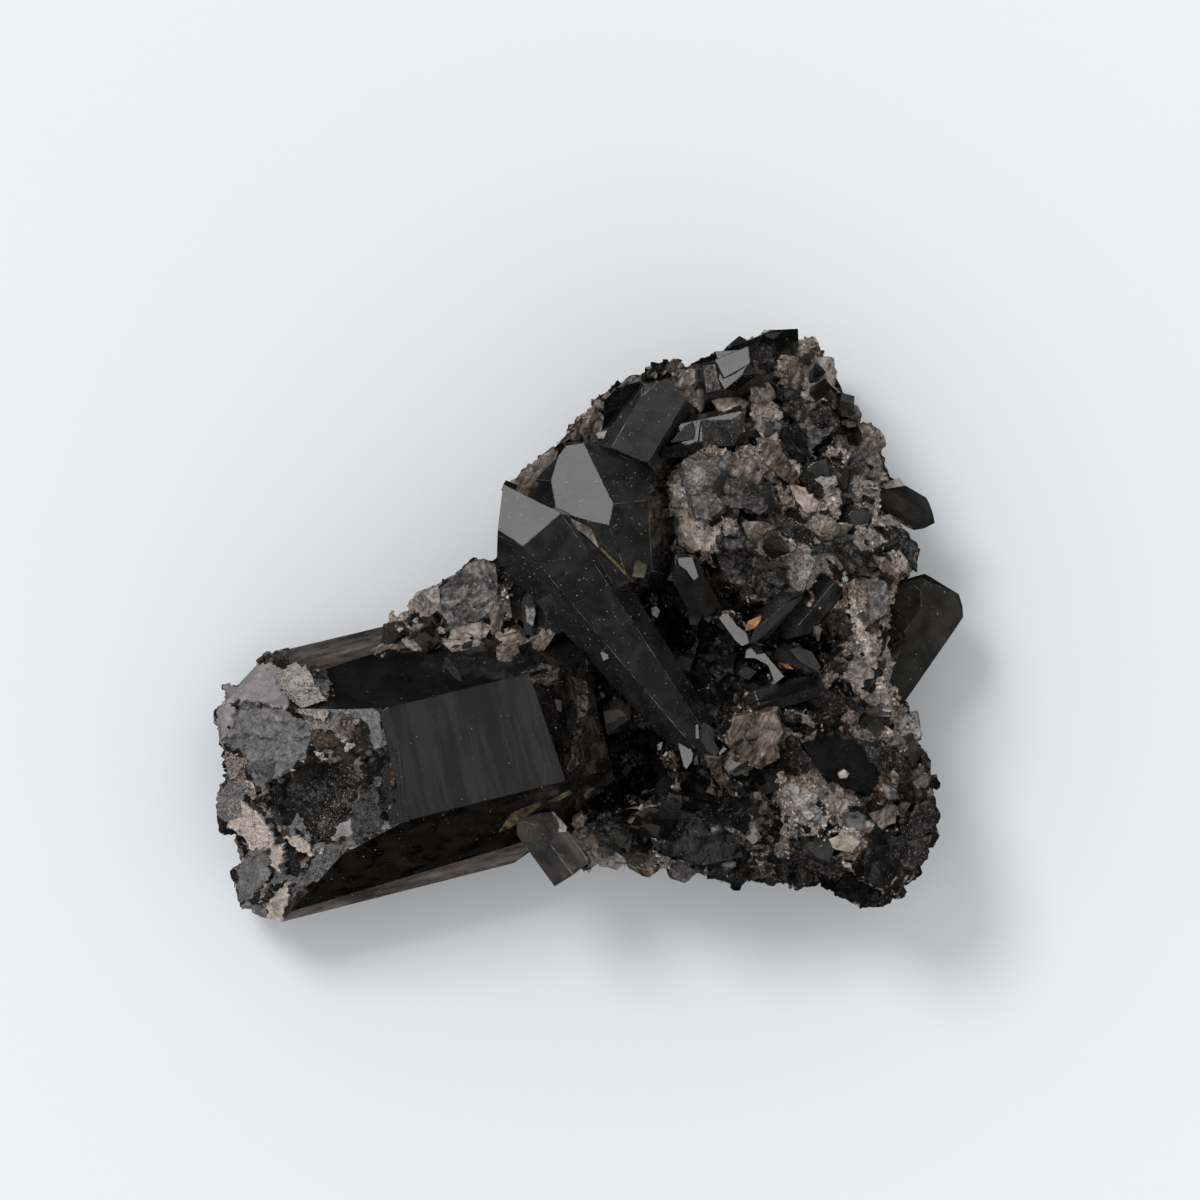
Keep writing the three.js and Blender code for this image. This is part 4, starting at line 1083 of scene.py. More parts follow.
ROUGH_FACES = {
    "grey brown block under the top edge": ("dusty", 0.7, None, [
        (745, 351), (764, 345), (775, 344), (777, 359), (769, 366), (760, 370), (748, 362)]),
    "brown block at the top right": ("rosy", 1.2, (20, 24), [
        (813, 359), (832, 360), (834, 371), (832, 389), (825, 401), (805, 405), (799, 400), (805, 376)]),
    "dark block at the top": ("dusty", 0.6, None, [(772, 392), (784, 390), (796, 392), (797, 401), (784, 405), (775, 399)]),
    "dark block, upper face": ("dusty", 0.9, (60, 10), [
        (780, 410), (794, 401), (812, 405), (828, 409), (837, 426), (816, 430), (796, 423)]),
    "dark block, left face": ("black", 0.8, (215, 28), [(776, 432), (796, 423), (805, 437), (809, 464), (794, 466), (780, 446)]),
    "dark block, right face": ("ash", 0.8, (-40, 16), [
        (796, 423), (816, 430), (837, 426), (828, 437), (814, 444), (809, 458), (805, 437)]),
    "brown block at the right": ("tan", 1.4, (0, 20), [
        (846, 430), (864, 426), (880, 437), (882, 444), (873, 453), (857, 455), (848, 446)]),
    "blue grey knob": ("slate", 1.0, (-10, 20), [(851, 455), (876, 451), (880, 462), (880, 482), (867, 482), (855, 473)]),
    "brown nub": ("rosy", 0.8, None, [(832, 391), (842, 401), (851, 409), (846, 417), (837, 412), (828, 401)]),
    "dark nub": ("slate", 0.8, None, [(851, 407), (856, 406), (859, 414), (857, 423), (851, 421), (848, 416)]),
    "druse block, pale left face": ("slate", 0.8, (200, 12), [
        (684, 462), (703, 453), (725, 460), (726, 478), (724, 509), (716, 519), (696, 519), (689, 498), (684, 484)]),
    "druse block, dark face": ("ash", 1.0, (-30, 8), [
        (725, 478), (748, 482), (759, 487), (766, 501), (766, 512), (759, 516), (748, 510), (734, 507), (724, 510)]),
    "cream break under the druse block": ("cream", 0.5, None, [
        (680, 521), (696, 519), (712, 521), (712, 536), (704, 549), (692, 552), (680, 542)]),
    "druse block, upper edge": ("brown", 0.8, (80, 16), [(725, 460), (748, 459), (760, 466), (757, 485), (748, 482), (725, 478)]),
    "long brown slab": ("brown", 0.8, None, [
        (760, 446), (773, 444), (791, 466), (798, 482), (791, 491), (780, 478), (766, 462)]),
    "pale boulder": ("cream", 1.1, None, [(791, 489), (803, 489), (814, 501), (812, 512), (803, 510), (794, 500)]),
    "dark lens": ("dusty", 0.9, None, [(798, 476), (809, 478), (821, 487), (823, 498), (816, 501), (805, 491)]),
    "pale patch beside the lens": ("frosted", 0.7, None, [(812, 480), (832, 478), (834, 494), (823, 499), (821, 487)]),
    "stubby crystal, left block": ("dusty", 1.3, LEVEL, [
        (717, 548), (753, 549), (751, 580), (739, 589), (726, 580), (719, 562)]),
    "stubby crystal, its top band": ("dusty", 1.3, (90, 20), [(717, 537), (753, 537), (754, 548), (717, 548)]),
    "stubby crystal, right block": ("dusty", 1.0, (-40, 12), [
        (755, 551), (769, 562), (784, 571), (784, 585), (773, 594), (757, 598), (751, 582)]),
    "sugary face": ("frosted", 0.9, None, [
        (780, 562), (794, 550), (812, 557), (812, 569), (803, 589), (787, 594), (785, 576)]),
    "dark band": ("dusty", 0.7, None, [
        (755, 518), (773, 509), (794, 523), (812, 532), (823, 539), (830, 553), (812, 551), (794, 539), (773, 528)]),
    "dark face with sparkle": ("dusty", 0.9, None, [
        (823, 539), (850, 535), (857, 550), (869, 577), (848, 575), (834, 555)]),
    "tan boulder": ("cream", 1.0, None, [(810, 525), (834, 523), (850, 525), (848, 535), (832, 536), (816, 534)]),
    "smooth block at the right edge": ("dusty", 1.4, (30, 20), [
        (867, 524), (885, 528), (903, 533), (917, 551), (914, 569), (898, 550), (880, 537)]),
    "brown strip at the right edge": ("rosy", 1.2, None, [(873, 514), (887, 516), (901, 528), (885, 526)]),
    "blue grey rounded face": ("slate", 1.7, None, [
        (866, 580), (880, 576), (886, 589), (884, 612), (868, 622), (866, 600)]),
    "brown break above the stubby crystal": ("brown", 0.9, None, [
        (742, 524), (758, 521), (774, 529), (778, 545), (764, 550), (748, 544)]),
    "tan leaf left of the long crystal": ("tan", 0.7, None, [
        (496, 648), (508, 640), (520, 645), (523, 656), (511, 664), (500, 660)]),
    "cream chip above the leaf": ("cream", 0.7, None, [(498, 634), (510, 628), (520, 634), (512, 641), (500, 642)]),
    "dark face above the rounded one": ("brown", 0.7, None, [
        (872, 556), (886, 560), (898, 572), (892, 590), (880, 574)]),
    "brown face under the vein": ("brown", 0.7, None, [(826, 612), (842, 608), (850, 622), (843, 640), (829, 632)]),
    "dark brown ledge": ("dusty", 0.9, None, [
        (809, 686), (835, 693), (864, 709), (851, 714), (828, 714), (805, 709), (796, 704)]),
    "bronze break": ("brown", 1.1, LEVEL, [
        (726, 738), (735, 718), (755, 712), (776, 710), (777, 721), (783, 732), (776, 743), (775, 757), (760, 765),
        (751, 761), (742, 752), (730, 746)]),
    "red brown break": ("brown", 0.9, None, [
        (734, 764), (751, 766), (767, 766), (764, 780), (755, 789), (746, 786), (742, 775)]),
    "rippled glass beside the bronze": ("dusty", 0.8, None, [
        (780, 741), (787, 734), (798, 739), (805, 752), (814, 764), (801, 775), (787, 777), (777, 770)]),
    "right shoulder": ("dusty", 0.8, None, [
        (862, 746), (882, 737), (909, 761), (912, 779), (894, 784), (878, 771)]),
    "clear lump": ("frosted", 1.2, (0, 16), [(897, 714), (916, 713), (920, 734), (912, 748), (899, 736)]),
    "small dark face": ("black", 0.8, None, [(846, 805), (868, 804), (869, 818), (851, 821)]),
    "tan break": ("tan", 0.8, None, [(869, 814), (885, 802), (898, 805), (894, 823), (880, 829)]),
    "lower right break, upper face": ("dusty", 1.4, (0, 24), [
        (901, 821), (914, 806), (930, 796), (935, 816), (930, 832), (912, 838), (900, 832)]),
    "lower right break, lower face": ("dusty", 0.9, None, [
        (900, 834), (912, 840), (930, 834), (925, 856), (914, 872), (900, 868), (892, 850)]),
    "lower right break, left face": ("sooty", 0.8, None, [
        (866, 842), (884, 838), (898, 836), (890, 850), (898, 870), (888, 884), (866, 880), (860, 860)]),
    "dark bottom corner": ("sooty", 0.7, None, [(830, 880), (850, 872), (864, 884), (884, 888), (876, 904), (850, 900)]),
    "bottom block": ("sooty", 1.5, (-60, 8), [
        (653, 821), (670, 808), (696, 814), (722, 827), (739, 837), (741, 857), (706, 864), (682, 858), (660, 850)]),
    "lavender chip under it": ("slate", 0.9, None, [(667, 860), (687, 857), (703, 862), (692, 874), (684, 881), (673, 876)]),
    "blue black face": ("black", 0.9, (-60, 24), [(703, 812), (725, 792), (746, 805), (750, 840), (738, 829)]),
    "break behind the large crystal": ("slate", 0.6, None, [
        (438, 588), (456, 577), (470, 566), (484, 561), (496, 566), (498, 590), (494, 610), (480, 620), (452, 626),
        (440, 612)]),
    "tan break left of it": ("rosy", 0.6, None, [(406, 606), (420, 594), (438, 587), (440, 606), (424, 622)]),
    "cracked end of the front face": ("umber", 0.4, LEVEL, [
        (572, 676), (586, 682), (589, 712), (579, 742), (581, 764), (568, 772), (572, 738), (578, 706)]),
    "rubble above the front face": ("umber", 0.3, None, [(519, 671), (542, 664), (560, 670), (557, 684), (534, 682)]),
    "pale chips on the upper face": ("frosted", 0.6, None, [(404, 641), (424, 638), (441, 645), (428, 653), (411, 650)]),
    "ridge above the smooth band": ("black", 0.7, (-50, 20), [
        (779, 713), (800, 722), (825, 729), (822, 734), (800, 733), (784, 724)]),
    "pale break under it": ("cream", 0.9, None, [(452, 627), (480, 621), (492, 626), (486, 639), (450, 638)]),
    "brown strip left of the twin": ("brown", 0.6, None, [
        (560, 446), (575, 430), (598, 410), (604, 420), (602, 434), (590, 440), (572, 441)]),
    "brown strip left of the far crystal": ("tan", 0.6, None, [(604, 398), (632, 378), (641, 384), (610, 400)]),
    "brown strip above the blade": ("tan", 0.6, None, [
        (505, 489), (530, 468), (553, 450), (556, 470), (548, 485), (520, 490)]),
    "pink nodule": ("tan", 1.0, None, [(571, 817), (580, 811), (587, 817), (584, 826), (575, 829)]),
    "white blob": ("cream", 1.0, None, [(828, 838), (841, 832), (857, 841), (850, 852), (835, 848)]),
    "end of the long brown prism": ("black", 0.8, None, [(587, 822), (609, 820), (648, 838), (644, 847), (626, 842), (591, 831)]),
    "pale break at the bottom rim": ("rosy", 0.7, None, [(588, 846), (606, 847), (626, 858), (616, 868), (598, 862)]),
    "its brown neighbour": ("brown", 0.7, None, [(622, 848), (644, 852), (660, 864), (648, 876), (630, 868)]),
    "cream rubble right of the break": ("cream", 0.8, None, [(490, 604), (499, 600), (503, 622), (500, 640), (492, 634)]),
    "honey break over the large crystal": ("tan", 0.7, None, [(531, 640), (548, 628), (556, 634), (546, 648), (533, 656)]),
    "speckled break under the bronze": ("frosted", 0.5, None, [
        (781, 782), (800, 780), (813, 794), (818, 812), (806, 818), (796, 806), (784, 796)]),
    "pale break left of the top crystal": ("rosy", 0.6, None, [
        (683, 373), (697, 372), (703, 392), (702, 410), (690, 417), (679, 404), (677, 388)]),
    "pale break under the top crystal": ("rosy", 0.7, None, [(710, 399), (730, 397), (748, 404), (744, 414), (722, 417)]),
    "tan break beside it": ("tan", 0.7, None, [(750, 385), (768, 384), (773, 398), (762, 408), (751, 402)]),
    "pale seam left of the dark block": ("rosy", 0.7, None, [(757, 413), (772, 420), (777, 438), (766, 443), (753, 430)]),
    "brown glass at the top right": ("brown", 0.6, None, [(787, 363), (799, 361), (803, 376), (799, 397), (788, 388)]),
    "tan break left of the vein": ("rosy", 0.8, None, [(850, 664), (864, 662), (874, 684), (880, 702), (866, 704), (854, 690)]),
    "brown chips on the upper face": ("tan", 0.3, None, [(372, 651), (392, 643), (403, 646), (396, 656), (379, 660)]),
    "rosy chips on the upper face": ("rosy", 0.3, None, [(442, 641), (468, 637), (486, 644), (470, 652), (449, 650)]),
    "brown break right of it": ("tan", 0.5, None, [(834, 800), (846, 796), (856, 812), (848, 820), (838, 814)]),
    "dark speckled break at the lower right": ("dusty", 0.6, None, [
        (796, 842), (822, 836), (828, 852), (846, 866), (838, 878), (812, 872), (798, 858)]),
    "broken small crystal": ("brown", 0.8, None, [
        (705, 755), (721, 755), (719, 764), (728, 782), (722, 789), (714, 776)]),
}

CRISP_FACES = {
    "bright prism, upper part": ("smoky", 2.2, TO_WINDOW, [
        (718, 618), (725, 610), (736, 625), (746, 633), (749, 643), (741, 646), (734, 640), (724, 626)]),
    "bright prism, lower part": ("smoky", 2.2, TO_WINDOW, [
        (745, 651), (749, 643), (757, 644), (764, 653), (783, 676), (774, 683), (767, 665), (754, 658), (744, 658)]),
    "brown side of the orange prism": ("clean", 1.8, LEVEL, [
        (747, 643), (754, 628), (785, 603), (798, 597), (795, 605), (754, 643)]),
    "orange tip": ("orange", 1.6, LEVEL, [(744, 631), (747, 621), (760, 615), (760, 620), (754, 628)]),
    "orange spark": ("orange", 1.8, LEVEL, [(778, 662), (787, 664), (793, 669), (785, 668)]),
    "grey hexagon": ("smoky", 1.8, LEVEL, [(788, 649), (795, 647), (810, 651), (820, 667), (815, 671), (798, 661)]),
    "bright blade": ("smoky", 2.6, TO_WINDOW, [(808, 651), (815, 641), (824, 634), (827, 637), (813, 652)]),
    "small grey facet": ("smoky", 1.6, LEVEL, [(738, 672), (746, 666), (757, 671), (749, 680), (741, 677)]),
    "long dark prism": ("clean", 1.2, (-70, 18), [
        (747, 704), (788, 684), (813, 676), (815, 681), (802, 689), (772, 700)]),
    "smooth dark band": ("clean", 1.2, (-40, 20), [
        (800, 742), (825, 735), (854, 740), (871, 762), (877, 778), (868, 794), (845, 788), (818, 771)]),
    "white chip on it": ("pale", 2.2, LEVEL, [(836, 772), (842, 768), (848, 772), (845, 777), (838, 777)]),
    "long bright hexagon": ("smoky", 1.6, TO_WINDOW, [
        (674, 728), (681, 725), (687, 740), (693, 753), (692, 760), (686, 769), (683, 765)]),
    "bright strip": ("smoky", 1.2, TO_WINDOW, [(695, 724), (698, 723), (699, 738), (695, 738)]),
    "grey prism beside it": ("smoky", 0.6, LEVEL, [(700, 738), (707, 728), (719, 750), (715, 756), (706, 750)]),
    "small bright end": ("smoky", 1.1, TO_WINDOW, [(718, 752), (723, 746), (727, 748), (719, 755)]),
    "bright triangle": ("smoky", 1.6, TO_WINDOW, [(657, 744), (663, 741), (661, 751)]),
    "bright curved face": ("smoky", 0.9, TO_WINDOW, [
        (677, 558), (692, 557), (698, 577), (693, 581), (686, 571), (678, 565)]),
    "grey facet beside it": ("smoky", 0.7, LEVEL, [(666, 580), (672, 571), (683, 571), (690, 580), (681, 583)]),
    "white chip in the hollow": ("cream", 1.8, LEVEL, [(651, 608), (656, 606), (660, 611), (657, 618), (652, 615)]),
    "bright facet below the blade": ("smoky", 0.6, LEVEL, [(555, 698), (562, 700), (562, 712), (557, 709)]),
    "bright facet on the blade's side": ("smoky", 0.6, TO_WINDOW, [(600, 652), (607, 649), (609, 658), (603, 661)]),
    "olive glow": ("olive", 0.5, LEVEL, [(628, 569), (638, 560), (647, 565), (644, 578), (632, 577)]),
    "pale crack beside the long crystal": ("tan", 0.25, None, [
        (562, 515), (575, 521), (590, 528), (601, 537), (604, 549), (598, 548), (588, 538), (572, 526)]),
    "thin crack below it": ("honey", 0.2, None, [(600, 547), (612, 558), (634, 581), (632, 583), (612, 562), (601, 551)]),
    # painted glow: the two golden strips stand for light seen through the large crystal's thin lower edge
    "golden strip at the large crystal's end": ("honey", 0.5, None, [
        (499, 831), (512, 812), (539, 801), (543, 803), (525, 817), (510, 828)]),
    "second golden strip": ("honey", 0.5, None, [(547, 801), (569, 789), (573, 792), (557, 801)]),
    "chip on the bottom crystal": ("pale", 0.5, TO_WINDOW, [(546, 819), (553, 810), (567, 826), (566, 831), (551, 832)]),
    "little pale crystal in the gap": ("pale", 0.8, TO_WINDOW, [(525, 599), (531, 595), (536, 612), (533, 626), (527, 622)]),
    "light top of the edge crystal": ("pale", 0.9, LEVEL, [(882, 484), (899, 478), (905, 486), (885, 489)]),
    "block right of the pointing crystal": ("grey", 1.0, (-60, 8), [
        (701, 421), (730, 421), (745, 412), (742, 432), (733, 447), (702, 448)]),
    "pointing crystal, striped face": ("smoky", 0.7, LEVEL, [(670, 444), (683, 428), (692, 423), (697, 440)]),
    "pointing crystal, dark underside": ("glass", 0.8, AWAY, [(663, 448), (697, 442), (702, 449), (698, 457), (661, 459)]),
    "top crystal, upper bright strip": ("smoky", 0.6, TO_WINDOW, [(714, 353), (744, 351), (747, 360), (719, 367)]),
    "top crystal, lower bright face": ("smoky", 0.4, TO_WINDOW, [(719, 370), (750, 361), (740, 378), (724, 391), (718, 381)]),
    "top crystal, grey left face": ("slate", 0.6, None, [(702, 367), (714, 366), (720, 391), (706, 394)]),
    "top crystal, dark side": ("glass", 0.7, AWAY, [(724, 391), (740, 378), (752, 362), (754, 378), (736, 393)]),
    "olive patch behind the large crystal": ("tan", 0.5, None, [(501, 636), (519, 630), (530, 641), (514, 650), (503, 646)]),
    "its bright strip": ("smoky", 0.7, TO_WINDOW, [(696, 422), (700, 422), (697, 443), (693, 443)]),
    "dark left face of the far crystal": ("glass", 0.4, AWAY, [
        (604, 402), (616, 390), (640, 382), (641, 394), (623, 432), (604, 436)]),
    "light sliver under it": ("pale", 0.6, TO_WINDOW, [(596, 434), (608, 432), (619, 435), (617, 440), (598, 440)]),
    "olive stone in the gap": ("olive", 0.6, None, [(508, 628), (518, 624), (528, 632), (522, 642), (508, 640)]),
    "dark crystal in the gap": ("glass", 0.6, None, [(509, 590), (520, 582), (527, 596), (526, 622), (512, 618)]),
}
CRISP_DEPTH = 6
ROUGH_DEPTH = 1.4


def read_plates(tree, faces, depth):
    """The plates of a list of faces, with the list's own row beside each."""
    return [(row, Plate(tree, row[1], row[2], row[3], depth)) for row in faces.values()]


def rough_faces(plates):
    """The rock's broken faces, each worn and chipped a little."""
    obj = plate_block(plates, list(ROUGH_LOOKS), list(ROUGH_LOOKS.values()))
    obj.name = obj.data.name = "rock_faces"
    refine(obj, range(len(ROUGH_LOOKS)), PLATE_EDGE)
    points, normals = arrays_of(obj.data)
    facets, _ = facet_heights(points, 2.1, 0.45, 41)
    fine = (value_noise(points, 0.8, 42) - 0.5) * 0.22
    drift = np.stack([value_noise(points, 1.5, 43 + axis) - 0.5 for axis in range(3)], axis=1) * 0.6
    smooth_slots = [list(ROUGH_LOOKS).index(look) for look in SMOOTH_LOOKS]
    relief = 1 - (1 - SMOOTH_RELIEF) * in_slots(obj.data, smooth_slots)
    set_points(obj.data, inside_box(points + normals * ((facets + fine) * relief)[:, None] + drift, -0.03))
    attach(obj, "root")


def crisp_faces(plates):
    """The clean crystal faces that stand out of the rock's hollows."""
    obj = plate_block(plates, list(CRISP_LOOKS), list(CRISP_LOOKS.values()))
    obj.name = obj.data.name = "crystal_faces"
    worn_edges_and_highlight(obj, 0.05, pale=False)
    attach(obj, "root")


# The rock


def rock_body():
    """The rock with its faces broken into facets at two scales."""
    obj = node_copy("matrix", "rock_body")
    remesh = obj.modifiers.new("even", "REMESH")
    remesh.mode = "VOXEL"
    remesh.voxel_size = ROCK_VOXEL * MM
    mesh = with_modifiers(obj)
    points, normals = arrays_of(mesh)
    broad, _ = facet_heights(points, 4.8, 1.5, 21)
    middle, _ = facet_heights(points, 1.9, 0.7, 22)
    small = (value_noise(points, 0.9, 23) - 0.5) * 0.35
    free = smooth(points[:, 2], 0.3, 3.0)
    calm = 1 - 0.5 * smooth(look_shares(points)["dark"], 0.8, 1.4)
    points = points + normals * ((broad + middle * calm + small * calm - 0.4) * free)[:, None]
    points = inside_box(points)
    points[:, 2] = np.maximum(points[:, 2], 0)
    set_points(mesh, points)
    mesh.materials.append(ROCK)
    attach(obj, "root")
    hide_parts("matrix")
    return obj


# Deep dark hollows between the crystals: pixel, reach in pixels and extra depth in mm
HOLLOWS = [((690, 650), 40, 5.0), ((640, 600), 26, 3.0), ((628, 772), 42, 4.0), ((765, 640), 34, 4.0), ((690, 780), 26, 3.0)]
CRYSTAL_CLEARANCE = 2.5     # mm that the rock lies below a crystal's face
CRYSTAL_REACH = 3.0         # mm above a crystal's face up to which the rock is pressed down


def heights_over(tree, points):
    """The height of the surface over each point in mm, or minus infinity."""
    found = (height_below(tree, x, y) for x, y in points[:, :2])
    return np.array([-np.inf if height is None else height for height in found])


def settle_rock(obj, plates, crystals):
    """Deepens the hollows, presses the rock down below the plates and the crystals' faces, and paints it."""
    points, normals = arrays_of(obj.data)
    upward = normals[:, 2] > 0
    for pixel, reach, depth in HOLLOWS:
        x, y = from_photo(*pixel)
        distance = np.hypot(points[:, 0] - x, points[:, 1] - y) / (reach * PIXEL)
        points[:, 2] -= depth * np.exp(-0.7 * distance ** 3) * upward * smooth(points[:, 2], 8, 16)
    points = lowered_under(points, plates)
    over = np.full(len(points), -np.inf)
    over[upward] = heights_over(crystals, points[upward])
    pressed = (points[:, 2] > over - CRYSTAL_CLEARANCE) & (points[:, 2] < over + CRYSTAL_REACH)
    points[pressed, 2] = over[pressed] - CRYSTAL_CLEARANCE
    set_points(obj.data, points)
    set_values(obj.data, paint(points, look_shares(points), 31))


def up_share(surface):
    return smooth(surface.normals[:, 2], 0.35, 0.75)


def above_floor(surface):
    return smooth(surface.middles[:, 2], 1.5, 4.0)


SUNK_ON_TOP, SUNK_ON_SIDES = 0.55, 1.05     # how far a block's middle lies below the rock, in block sizes


def stands_inside(tree, place, reach):
    """Whether the specimen lies under a place and all round it, seen from above."""
    steps = ((1, 0), (-1, 0), (0, 1), (0, -1))
    return all(height_below(tree, place[0] + reach * dx, place[1] + reach * dy) is not None for dx, dy in steps)


KEPT_INSIDE = 1.4            # how far inside the outline a block's middle lies, in block sizes
RIM_SHARE = 0.25             # how many of the blocks stand on the rock's sides, against its top
CLEAR_OF_CRYSTALS = 0.9      # how far a block stays from a crystal's face, in block sizes


def rock_blocks(surface, crisp_plates, tree):
    """Broken blocks of dark, grey and brown quartz that stand out of the rock, less so on its sides."""
    shares = look_shares(surface.middles)
    free = above_floor(surface) * surface.open * (1 - smooth(shares["cream"], 0.3, 0.9))
    free *= RIM_SHARE + (1 - RIM_SHARE) * smooth(surface.normals[:, 2], 0.1, 0.6)
    from_crystals = surface.distances(crisp_plates)
    heap = Heap()
    kinds = [
        (100, (1.5, 3.0), 0.4 + shares["dark"], 0),
        (55, (1.0, 2.0), 0.1 + shares["frost"], 1),
        (40, (1.1, 2.2), 0.05 + shares["rust"] ** 2, 2),
        (150, (0.5, 1.3), 0.5 + shares["dark"], 0),
        (120, (0.4, 1.0), 0.2 + shares["frost"] + 0.4 * shares["sugar"], 1),
        (80, (0.45, 1.1), 0.1 + shares["rust"] ** 2, 3),
    ]
    for count, (least, most), weight, slot in kinds:
        clear = from_crystals > CLEAR_OF_CRYSTALS * most
        places, normals = surface.places(count, weight * free * clear)
        for place, normal in zip(places, normals):
            size = least + (most - least) * rng.random() ** 2
            if not stands_inside(tree, place, KEPT_INSIDE * size):
                continue
            stretch = size * rng.uniform(0.7, 1.25, 3)
            sunk = SUNK_ON_SIDES + (SUNK_ON_TOP - SUNK_ON_SIDES) * smooth(normal[2], 0.1, 0.6)
            lean = turned(normal + rng.normal(0, 0.45, 3), rng.uniform(0, 6.28))
            heap.add(CHUNKS[rng.integers(len(CHUNKS))], place - normal * size * sunk, lean, stretch, slot)
    heap.points = [inside_box(points, -0.1) for points in heap.points]
    obj = heap.piece("rock_blocks", [GLASSY, FROST, BROWN, BROWNISH])
    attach(obj, "root")
    return obj


def rock_grains(surface):
    """Beige and cream crumbs in the rock's pale places, and glassy ones that sparkle elsewhere."""
    shares = look_shares(surface.middles)
    cell, _ = nearest_cells(surface.middles, 3.4, 31)
    patchy = smooth(shares["sugar"] - hashed(cell, 101), -0.15, 0.2)
    heap = Heap()
    kinds = [
        (4200, (0.12, 0.5), patchy, 0),
        (2600, (0.1, 0.4), 0.1 * patchy * smooth(shares["sugar"], 0.6, 1.0) + shares["cream"], 1),
        (1600, (0.1, 0.3), 0.25 + 0.5 * shares["dark"], 2),
        (600, (0.08, 0.2), 0.3 + 0.5 * shares["dark"], 1),
    ]
    for count, (least, most), weight, slot in kinds:
        places, normals = surface.places(count, np.maximum(weight, 0) * above_floor(surface) * surface.open)
        for place, normal in zip(places, normals):
            size = least + (most - least) * rng.random() ** 2
            lean = turned(rng.normal(0, 1, 3), 0)
            shape = CHUNKS[rng.integers(len(CHUNKS))]
            heap.add(shape, place + normal * size * 0.05, lean, size * rng.uniform(0.5, 1.2, 3), slot)
    heap.points = [inside_box(points, -0.05) for points in heap.points]
    obj = heap.piece("rock_grains", [SUGAR, CREAM, FROST])
    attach(obj, "root")
    return obj


# Small crystals that grew on the rock: the CAD's own, with clean faces, in the drawing's mm
SMALL_CRYSTALS = [
    {"tip": (25.4, -1.8, 37), "azimuth": 228, "elevation": 12, "width": 2.9, "depth": 2.6, "length": 11, "roll": 20, "look": 1},
    {"tip": (31.2, -1.6, 34), "azimuth": 230, "elevation": 6, "width": 4.2, "depth": 3.8, "length": 12, "roll": 30},
    {"tip": (24.6, -12.2, 34.6), "azimuth": 196, "elevation": 10, "width": 3.2, "depth": 2.8, "length": 13, "roll": 18},
    {"tip": (18, -15.2, 31), "azimuth": 100, "elevation": 30, "width": 3.2, "depth": 3, "length": 9, "roll": 10},
    {"tip": (13.8, 11.6, 35), "azimuth": 120, "elevation": 35, "width": 4.2, "depth": 4, "length": 12, "roll": 20},
    {"tip": (-1.6, -4.2, 31), "azimuth": 100, "elevation": 40, "width": 2.4, "depth": 2.2, "length": 8},
    {"tip": (-9.4, 5.6, 30.5), "azimuth": 96, "elevation": 38, "width": 2.4, "depth": 2.2, "length": 8, "roll": 15, "look": 2},
    {"tip": (7, 8.2, 37), "azimuth": 20, "elevation": 30, "width": 3.4, "depth": 3, "length": 8},
    {"tip": (36.4, -6.2, 36), "azimuth": -20, "elevation": 30, "width": 2.6, "depth": 2.4, "length": 8, "roll": 10},
    {"tip": (21.6, 24.4, 43), "azimuth": 100, "elevation": 55, "width": 3.8, "depth": 3.4, "length": 9, "roll": 10},
    {"tip": (28.6, 21.6, 43.2), "azimuth": 40, "elevation": 60, "width": 4.6, "depth": 4, "length": 10, "roll": 30},
    {"tip": (37.4, 26.6, 37.4), "azimuth": 60, "elevation": 50, "width": 4.4, "depth": 4, "length": 11},
    {"tip": (34, 34.6, 35.6), "azimuth": 110, "elevation": 45, "width": 4.2, "depth": 3.6, "length": 10, "roll": 20},
    {"tip": (44.6, 18, 34.6), "azimuth": 20, "elevation": 40, "width": 4, "depth": 3.6, "length": 10, "roll": 5},
    {"tip": (9, -32, 30.6), "azimuth": 160, "elevation": 25, "width": 4.4, "depth": 4, "length": 11, "roll": 14},
    {"tip": (0.8, -31.4, 25.4), "azimuth": 150, "elevation": 20, "width": 4, "depth": 3.6, "length": 10, "look": 1},
    {"tip": (-14.8, -35.2, 15.5), "azimuth": 200, "elevation": 5, "width": 2.8, "depth": 2.6, "length": 9},
    {"tip": (52.6, -19, 27.6), "azimuth": 30, "elevation": 35, "width": 4.6, "depth": 4, "length": 10, "roll": 12, "look": 2},
    {"tip": (53, -30.6, 30), "azimuth": 10, "elevation": 40, "width": 5, "depth": 4.6, "length": 11, "roll": 25, "look": 1},
    {"tip": (38, -37, 34), "azimuth": -70, "elevation": 42, "width": 5, "depth": 4.4, "length": 12, "roll": 8},
    {"tip": (24, -41.4, 9), "azimuth": -80, "elevation": -10, "width": 7, "depth": 6, "length": 14, "roll": 10},
    {"tip": (9, -39.6, 13), "azimuth": -100, "elevation": 6, "width": 6, "depth": 5.4, "length": 13, "roll": 24},
    {"tip": (55.4, -25, 10), "azimuth": -5, "elevation": -8, "width": 7.4, "depth": 6.6, "length": 15, "roll": 16},
    {"tip": (49, -4, 9.5), "azimuth": 5, "elevation": -12, "width": 8, "depth": 7, "length": 14},
    {"tip": (46, 26.6, 8.5), "azimuth": 35, "elevation": -8, "width": 7, "depth": 6.2, "length": 14, "roll": 30},
    {"tip": (24, 46.6, 10), "azimuth": 95, "elevation": -6, "width": 7.6, "depth": 6.6, "length": 14, "roll": 5},
    {"tip": (5, 39, 12), "azimuth": 125, "elevation": 4, "width": 6.4, "depth": 5.6, "length": 13, "roll": 22},
    {"tip": (-9.4, 25.4, 12), "azimuth": 140, "elevation": -2, "width": 6, "depth": 5.4, "length": 13, "roll": 14},
    {"tip": (39, 40.6, 9), "azimuth": 60, "elevation": -10, "width": 6, "depth": 5.2, "length": 13, "roll": 10},
]
OVERGROWTH = 0.35   # mm that a crystal's clean faces stand outside the rock's rough copy of it


